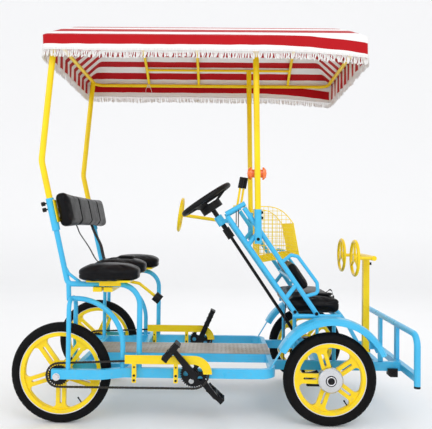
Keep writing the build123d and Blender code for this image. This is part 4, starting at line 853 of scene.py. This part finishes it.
def canopy_edge(share):
    """Point and outward normal on the rounded rectangle of the hem, by share of its length."""
    r = CANOPY_CORNER
    x, y = CANOPY_HALF_X - r, CANOPY_HALF_Y - r
    arc = math.pi * r / 2
    s = share % 1.0 * (4 * (x + y) + 4 * arc)
    corners = (
        (2 * x, (-x, -CANOPY_HALF_Y), (1, 0), (x, -y), -90),
        (2 * y, (CANOPY_HALF_X, -y), (0, 1), (x, y), 0),
        (2 * x, (x, CANOPY_HALF_Y), (-1, 0), (-x, y), 90),
        (2 * y, (-CANOPY_HALF_X, y), (0, -1), (-x, -y), 180),
    )
    for length, *places, first in corners:
        start, along, pivot = (Vector((*place, 0)) for place in places)
        if s < length:
            return start + along * s, Vector((along.y, -along.x, 0))
        s -= length
        if s < arc:
            angle = math.radians(first) + s / r
            out = Vector((math.cos(angle), math.sin(angle), 0))
            return pivot + out * r, out
        s -= arc
    return Vector((*corners[0][1], 0)), Vector((0, -1, 0))


def roof_z(x, y):
    """Height of the stretched roof: an arch across, sloped ends, and a slight sag between bows and bars."""
    arch = CANOPY_HIGH.z - ROOF_R + math.sqrt(max(ROOF_R**2 - y * y, 0))
    inward = CANOPY_HALF_X - abs(x)
    hip = EAVE_Z + EAVE_DROP * min(inward / HIP, 1.6)
    soft = 14 * MM
    mix = max(soft - abs(arch - hip), 0) / soft
    top = min(arch, hip) - mix * mix * soft / 4
    world_x = x + CANOPY_MID.x
    stops = (CANOPY_LOW.x,) + BOWS_X + (CANOPY_HIGH.x,)
    sag = 0
    for a, b in zip(stops, stops[1:]):
        if a <= world_x <= b:
            sag = math.sin(math.pi * (world_x - a) / (b - a)) ** 2
    between = math.sin(math.pi * min(abs(y) / BAR_Y, 1) * 0.5 + math.pi / 2) ** 2 if abs(y) < BAR_Y else 0
    return top - SAG * sag * between


def droop(x):
    """How far the hem hangs lower towards the unpropped front."""
    ahead = max(x - DROOP_FROM_X, 0) / (CANOPY_HIGH.x - DROOP_FROM_X)
    return FRONT_DROOP * ahead * ahead


def canopy():
    half_ridge = CANOPY_HALF_X - HIP
    rings = []
    for row in range(VALANCE_ROWS):
        drop = row / (VALANCE_ROWS - 1)
        ring = []
        for k in range(AROUND):
            share = k / AROUND
            point, out = canopy_edge(share)
            ripple = RIPPLE * (1 - drop) * math.sin(share * 2 * math.pi * 41 + math.sin(share * 60)) - RIPPLE
            at = point + out * ripple
            lift = 3 * MM * math.sin(share * 2 * math.pi * 9 + 1.0) * (1 - drop * 0.5)
            hem_z = CLOTH_HEM_Z - droop(at.x + CANOPY_MID.x)
            z = hem_z + (EAVE_Z - hem_z) * drop
            ring.append(Vector((at.x + CANOPY_MID.x, at.y + CANOPY_MID.y, z + lift * 0.5)))
        rings.append(ring)
    for row in range(1, ROOF_ROWS + 1):
        share_in = row / ROOF_ROWS
        ring = []
        for k in range(AROUND):
            point, out = canopy_edge(k / AROUND)
            point = point - out * RIPPLE
            centre = Vector((max(-half_ridge, min(half_ridge, point.x)), 0, 0))
            at = point.lerp(centre, share_in)
            ring.append(Vector((at.x + CANOPY_MID.x, at.y + CANOPY_MID.y, roof_z(at.x, at.y) - 1 * MM)))
        rings.append(ring)
    shape = Shape()
    shape.loops(rings)
    piece = shape.make("striped_canopy", CLOTH, "frame")
    tidy(piece.data, 0.2 * MM)
    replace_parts(piece, "canopy_cloth")
    return piece, rings[0]


TASSELS = 900


def fringe(hem):
    """Braid along the hem with short tassels hanging from it."""
    pick = random.Random(7)
    braid = Shape()
    bands = []
    for lift, out_by in ((3 * MM, 0.8 * MM), (3 * MM, 2.4 * MM), (-7 * MM, 2.4 * MM), (-7 * MM, 0.8 * MM)):
        ring = []
        for k, point in enumerate(hem):
            out = canopy_edge(k / AROUND)[1]
            ring.append(point + out * out_by + Vector((0, 0, lift)))
        bands.append(ring)
    braid.loops(bands, joined=True)
    piece = braid.make("fringe_braid", FRINGE, "frame")
    tassels = Shape()
    for k in range(TASSELS):
        share = k / TASSELS
        spot = share * AROUND
        a, b = hem[int(spot)], hem[(int(spot) + 1) % AROUND]
        top = a.lerp(b, spot % 1.0)
        out = canopy_edge(share)[1]
        along = Vector((-out.y, out.x, 0))
        length = FRINGE_H * pick.uniform(0.78, 0.985) - 6 * MM
        lean = along * pick.uniform(-12, 9) * MM + out * pick.uniform(-3, 3.5) * MM
        rings = []
        for drop, size in ((0.0, 1.5), (0.2, 1.8), (0.6, 2.7), (1.0, 3.4)):
            middle_at = top + out * 1.6 * MM + lean * drop**1.6 + Vector((0, 0, -6 * MM - length * drop))
            rings.append([middle_at + (along * a2 + out * b2 * 0.7) for a2, b2 in ring_outline(size * MM, 5)])
        tassels.loops(rings, caps=True)
    tassel_piece = tassels.make("fringe_tassels", FRINGE, "frame")
    return piece, tassel_piece


# Stuffed pieces, blown up from their solids by cloth simulation
VOXEL = 5.5 * MM
SWELL_FRAMES = 16


def stuffed(node, cap, shrink):
    """A copy of a soft solid, drawn in, remeshed and inflated a little, then smoothed."""
    source = nodes[node]
    piece = bpy.data.objects.new(f"{node}_stuffed", source.data.copy())
    bpy.context.scene.collection.objects.link(piece)
    bpy.context.view_layer.objects.active = piece
    piece.select_set(True)
    mid, size = middle(node), half_size(node)
    for vertex in piece.data.vertices:
        away = vertex.co - mid
        vertex.co = mid + Vector([away[i] * (1 - shrink / max(size[i], shrink * 2)) for i in range(3)])
    remesh = piece.modifiers.new("weld", "REMESH")
    remesh.mode = "VOXEL"
    remesh.voxel_size = VOXEL
    bpy.ops.object.modifier_apply(modifier=remesh.name)
    start = [v.co.copy() for v in piece.data.vertices]
    cloth = piece.modifiers.new("stuffing", "CLOTH")
    cloth.settings.quality = 4
    cloth.settings.use_pressure = True
    cloth.settings.uniform_pressure_force = 4.0
    cloth.settings.effector_weights.gravity = 0
    cloth.settings.tension_stiffness = 40
    cloth.settings.bending_stiffness = 5
    scene = bpy.context.scene
    for step in range(1, SWELL_FRAMES + 1):
        scene.frame_set(step)
    bpy.ops.object.modifier_apply(modifier=cloth.name)
    scene.frame_set(1)
    for vertex, was in zip(piece.data.vertices, start):
        move = vertex.co - was
        if move.length > cap:
            vertex.co = was + move.normalized() * cap
    smooth = piece.modifiers.new("settle", "SMOOTH")
    smooth.iterations = 3
    bpy.ops.object.modifier_apply(modifier=smooth.name)
    piece.select_set(False)
    piece.data.materials.clear()
    piece.data.materials.append(VINYL)
    piece.data.polygons.foreach_set("use_smooth", [True] * len(piece.data.polygons))
    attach(piece, "frame")
    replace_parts(piece, node)
    return piece


def groove(piece, measure, places, width, depth):
    """Draws sewn channels into a pad where measure(point) passes one of the places."""
    mesh = piece.data
    normals = [vertex.normal.copy() for vertex in mesh.vertices]
    for vertex, normal in zip(mesh.vertices, normals):
        pull = 0
        for place in places:
            away = (measure(vertex.co) - place) / width
            pull = max(pull, math.exp(-away * away))
        vertex.co = vertex.co - normal * (depth * pull)
    mesh.update()


def dome(piece, node, drop):
    """Rounds a pad's top, so that its middle stands higher than its edges."""
    mid, half = middle(node), half_size(node)
    for vertex in piece.data.vertices:
        x, y, z = ((vertex.co[i] - mid[i]) / half[i] for i in range(3))
        if z > -0.2:
            vertex.co.z -= drop * (z + 0.2) / 1.2 * min(x * x + y * y, 1.3)
    piece.data.update()


def pads():
    seats = {}
    for node in ("saddle_right", "saddle_middle", "saddle_left"):
        seats[node] = stuffed(node, 7 * MM, 4 * MM)
        dome(seats[node], node, 15 * MM)
        rim = box(node)[0].z + 30 * MM
        groove(seats[node], lambda p: p.z, (rim,), 3 * MM, 2.2 * MM)
    back = stuffed("backrest_pad", 7 * MM, 4 * MM)
    mid, half = middle("backrest_pad").y, half_size("backrest_pad").y
    groove(back, lambda p: p.y, (mid - half * 0.5, mid, mid + half * 0.5), 8 * MM, 7 * MM)
    bench = stuffed("child_bench", 7 * MM, 4 * MM)
    dome(bench, "child_bench", 9 * MM)
    groove(bench, lambda p: p.z, (middle("child_bench").z + 6 * MM,), 3.5 * MM, 3 * MM)
    child_back = stuffed("child_backrest", 6 * MM, 4 * MM)
    mid = middle("child_backrest").y
    groove(child_back, lambda p: p.y, (mid - 110 * MM, mid + 110 * MM), 6 * MM, 4 * MM)
    seats["child_bench"] = bench
    return seats


# Lap belts: flat webbing that lies on the middle saddle and on the child bench
BELT_W = 26 * MM
BELT_T = 1.8 * MM
SADDLE_BELT = (
    *((-790, 192, 1050), (-768, 190, 1003), (-752, 188, 965), (-710, 162, 895)),
    *((-668, 92, None), (-612, 40, None), (-560, 10, None)),
)
BENCH_BELT = ((420, -120, None), (470, -150, None), (540, -190, None), (600, -225, None))
BENCH_LOOP = ((600, -225, None), (622, -234, 664), (644, -226, 668), (658, -205, None), (640, -185, None))
BUCKLE = (46 * MM, 24 * MM, 13 * MM)


def above(piece, x, y):
    """Height of a soft piece's top at a place."""
    hit, point, _, _ = piece.ray_cast(Vector((x, y, 3.0)), Vector((0, 0, -1)))
    return point.z if hit else box(piece.name.replace("_stuffed", ""))[1].z


def rounded(points, steps):
    """A smooth route through points."""
    route = []
    for k in range(len(points) - 1):
        a, b, c, d = (points[max(min(i, len(points) - 1), 0)] for i in (k - 1, k, k + 1, k + 2))
        for step in range(steps):
            t = step / steps
            bend = (2 * a - 5 * b + 4 * c - d) * t**2 + (3 * b - a - 3 * c + d) * t**3
            route.append(0.5 * (2 * b + (c - a) * t + bend))
    route.append(points[-1])
    return route


def ribbon(shape, route, across, width, thick):
    rings = []
    for k, point in enumerate(route):
        along = (route[min(k + 1, len(route) - 1)] - route[max(k - 1, 0)]).normalized()
        wide = (across - along * across.dot(along)).normalized()
        up = along.cross(wide)
        wide, up = wide * (width / 2), up * (thick / 2)
        rings.append([point + wide * a + up * b for a, b in ((-1, -1), (1, -1), (1, 1), (-1, 1))])
    shape.loops(rings, caps=True)


def strap(shape, piece, table, mid_y, way, across):
    points = []
    for x, y, z in table:
        x, y = x * MM, mid_y + way * y * MM
        points.append(Vector((x, y, above(piece, x, y) + BELT_T if z is None else z * MM)))
    ribbon(shape, rounded(points, 6), across, BELT_W, BELT_T)
    return points[-1]


def buckle(shape, at, along):
    half_l, half_w, high = BUCKLE
    across = Vector((-along.y, along.x, 0))
    up = Vector((0, 0, 1))
    outline = [(-1, -0.7), (-0.8, -1), (0.8, -1), (1, -0.7), (1, 0.7), (0.8, 1), (-0.8, 1), (-1, 0.7)]
    rings = []
    for lift, share in ((0.0, 0.94), (0.25, 1.0), (0.75, 1.0), (1.0, 0.84)):
        level = at + up * (high * lift)
        long, wide = along * (half_l * share), across * (half_w * share)
        rings.append([level + long * a + wide * b for a, b in outline])
    shape.loops(rings, caps=True)


def belts(seats):
    straps = Shape()
    buckles = Shape()
    saddle = seats["saddle_middle"]
    mid_y = middle("saddle_middle").y
    for way in (-1, 1):
        strap(straps, saddle, SADDLE_BELT, mid_y, way, Vector((0.5, 1.0 * way, 0)))
    x = -520 * MM
    buckle(buckles, Vector((x, mid_y, above(saddle, x, mid_y) + 0.5 * MM)), Vector((1, 0, 0)))
    bench = seats["child_bench"]
    end = strap(straps, bench, BENCH_BELT, MID_Y, 1, Vector((0.4, 1, 0)))
    strap(straps, bench, BENCH_LOOP, MID_Y, 1, Vector((0.2, 1, 0)))
    buckle(buckles, Vector((end.x, end.y, above(bench, end.x, end.y) + 0.5 * MM)), Vector((0.9, -0.44, 0)))
    straps.make("lap_belt_webbing", WEBBING, "frame")
    buckles.make("lap_belt_buckles", MOULDED, "frame")


# Mudguard edges, guard clamps and the string that ties the cloth to its ring
FENDER_MID = (604 * MM, 252 * MM)
FENDER_LIP_R = 270.5 * MM
FENDER_EDGE = 55.3 * MM
FENDER_ARC = (24.4, 152.6)
BEAD_R = 3.0 * MM


def fender_beads():
    """Rolled wire edges along both lips of each mudguard."""
    shape = Shape()
    for way in (-1, 1):
        for edge in (-1, 1):
            y = MID_Y + way * 450 * MM + edge * FENDER_EDGE
            route = []
            for k in range(41):
                angle = math.radians(FENDER_ARC[0] + (FENDER_ARC[1] - FENDER_ARC[0]) * k / 40)
                x, z = FENDER_LIP_R * math.cos(angle), FENDER_LIP_R * math.sin(angle)
                route.append((FENDER_MID[0] + x, y, FENDER_MID[1] + z))
            shape.tube(route, BEAD_R)
    shape.make("mudguard_beads", BLUE, "frame")


CLAMP_X = 962 * MM
CLAMP_Z = 238 * MM
CLAMP_HALF = (26 * MM, 17 * MM, 22 * MM)
FOOT_X = 1022.5 * MM
FOOT_Y = 515 * MM
FOOT_Z = 218 * MM
KNOB_TOP = Vector((915 * MM, MID_Y, 812 * MM))


def guard_clamps():
    """Black clamps under the front beams, foot caps of the guard and the screw of the toy wheels' bar."""
    shape = Shape()
    half_x, half_y, half_z = CLAMP_HALF
    outline = [(-1, -0.55), (-0.55, -1), (1, -1), (1, 1), (-1, 1)]
    for way in (-1, 1):
        at = Vector((CLAMP_X, MID_Y + way * (278 + 14) * MM, CLAMP_Z))
        block = [(a * half_x, b * half_z) for a, b in outline]
        shape.prism(block, at, Vector((1, 0, 0)), Vector((0, 0, 1)), Vector((0, 1, 0)), 2 * half_y)
        for lift in (-9, 9):
            hex_bolt(shape, at + Vector((lift * MM, way * half_y, 0)), (0, way, 0), 10 * MM, 6 * MM)
        foot = Vector((FOOT_X, MID_Y + way * FOOT_Y, FOOT_Z))
        for k in range(2):
            low, high = (foot + Vector((0, 0, (z + 7 * k) * MM)) for z in (-4, 3))
            shape.tube([low, high], (16.5 - k) * MM, 20)
    shape.tube([KNOB_TOP, KNOB_TOP - Vector((0, 0, 16 * MM))], 8 * MM, 14)
    shape.make("guard_clamps", BLACK, "frame")


STRING_R = 1.5 * MM


def tie_string():
    """A cord knotted round the far side of the canopy ring, with two loose ends."""
    at = Vector((BOWS_X[0], MID_Y + 505 * MM, 1972 * MM))
    shape = Shape()
    for shift in (-9, -4, 4):
        loop = []
        for k in range(16):
            angle = 2 * math.pi * k / 16
            rise, out = math.sin(angle) * MM, math.cos(angle) * MM
            loop.append(at + Vector((shift * MM + 2 * rise, 13 * out, 13 * rise)))
        shape.tube(loop, STRING_R, 6, joined=True)
    for shift, length, swing in ((-6, 45, -14), (5, 78, 18)):
        tail = [at + Vector((shift * MM, -13.5 * MM, -4 * MM))]
        for k in range(1, 8):
            t = k / 7
            hang = Vector((shift + swing * math.sin(2 * t), -14.5 - 3 * t, -4 - length * t))
            tail.append(at + hang * MM)
        shape.tube(tail, STRING_R, 6)
    shape.make("canopy_tie_string", FRINGE, "frame")


# Fasteners, by the place that each one holds
def bolt_set(name, finish, body, table):
    shape = Shape()
    for at, along, across, height in table:
        hex_bolt(shape, at, along, across * MM, height * MM)
    shape.make(name, finish, body)


def fasteners():
    mid_y = MID_Y
    table = []
    for side in SIDES:
        way = OUTWARD[side]
        outer = mid_y + way * (363 + 13) * MM
        for x, z in ((426, 568), (540, 560)):
            table.append(((x * MM, outer - way * 1 * MM, z * MM), (0, way, 0), 12, 7))
        socket = mid_y + way * (390 + 19) * MM
        for z in (1062, 1090):
            x = 229 + (z - 926) * (206 - 229) / (1972 - 926)
            table.append(((x * MM + 18.5 * MM, mid_y + way * 390 * MM, z * MM), (1, 0, 0), 13, 9))
        table.append(((227 * MM, socket - way * 0.5 * MM, 950 * MM), (0, way, 0), 11, 6))
    bolt_set("frame_bolts", BLACK, "frame", table)
    studs = []
    guard_low, guard_high = box("chain_guards")
    for y in (guard_low.y, guard_high.y - 47 * MM):
        for x in (-398, -188):
            for z in (238, 262, 304):
                studs.append(((x * MM, y, z * MM), (0, -1, 0), 8 if z < 300 else 6, 5))
    bolt_set("guard_studs", BLACK, "frame", studs)
    nuts = []
    axle_low, axle_high = box("rear_axles")
    sprocket_mid = middle("rear_axles")
    for y, way in ((axle_low.y + 8 * MM, -1), (axle_high.y - 8 * MM, 1)):
        nuts.append(((sprocket_mid.x, y, sprocket_mid.z), (0, way, 0), 24, 11))
    bolt_set("axle_nuts", BRIGHT, "frame", nuts)


def floor():
    """A pale sheet that sweeps up behind the vehicle, painted lighter as it rises to stand in for the light that
    the upswept wall misses.
    """
    reach, start, bend, top = 30.0, 6.0, 4.0, 14.0
    line = [(-reach, 0.0)]
    for k in range(25):
        angle = math.radians(90 * k / 24)
        line.append((start + bend * math.sin(angle), bend * (1 - math.cos(angle))))
    line.append((start + bend, top))
    shape = Shape()
    shape.loops([[Vector((x, y, z)) for y, z in line] for x in (-reach, reach)], closed_ring=False)
    finish = Finish("pale_floor", {"Roughness": 0.7})
    drift = finish.noise(1.5, 2.0)
    # painted light: the sheet grows paler with height so the dimmer-lit wall looks as bright as the floor
    rise = finish.ramp(finish.axes()[2], [(0.0, 0.0), (1.0, 1.0)])
    ground = finish.mix(drift, rgb(0.90, 0.90, 0.90), rgb(0.88, 0.88, 0.882))
    finish.show("Base Color", finish.mix(rise, ground, rgb(0.96, 0.96, 0.96)))
    mesh = bpy.data.meshes.new("floor")
    mesh.from_pydata([tuple(p) for p in shape.points], [], shape.faces)
    mesh.polygons.foreach_set("use_smooth", [True] * len(mesh.polygons))
    mesh.materials.append(finish.material)
    piece = bpy.data.objects.new("floor", mesh)
    bpy.context.scene.collection.objects.link(piece)


set_camera()
set_light()
floor()
dress_nodes()
for end in ("rear", "front"):
    for side in SIDES:
        tyre(end, side)
        rim_edge(end, side)
for side in SIDES:
    front_hub_centre(side)
links = Shape()
for side in SIDES:
    chain(links, side)
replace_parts(links.make("roller_chains", CHAIN_STEEL, "frame"), "chains")
for name in PEDAL_TURNS:
    pedal_grips(name)
deck_lozenges()
wire_basket()
sheet, hem = canopy()
trim = fringe(hem)
seats = pads()
belts(seats)
fender_beads()
guard_clamps()
tie_string()
fasteners()
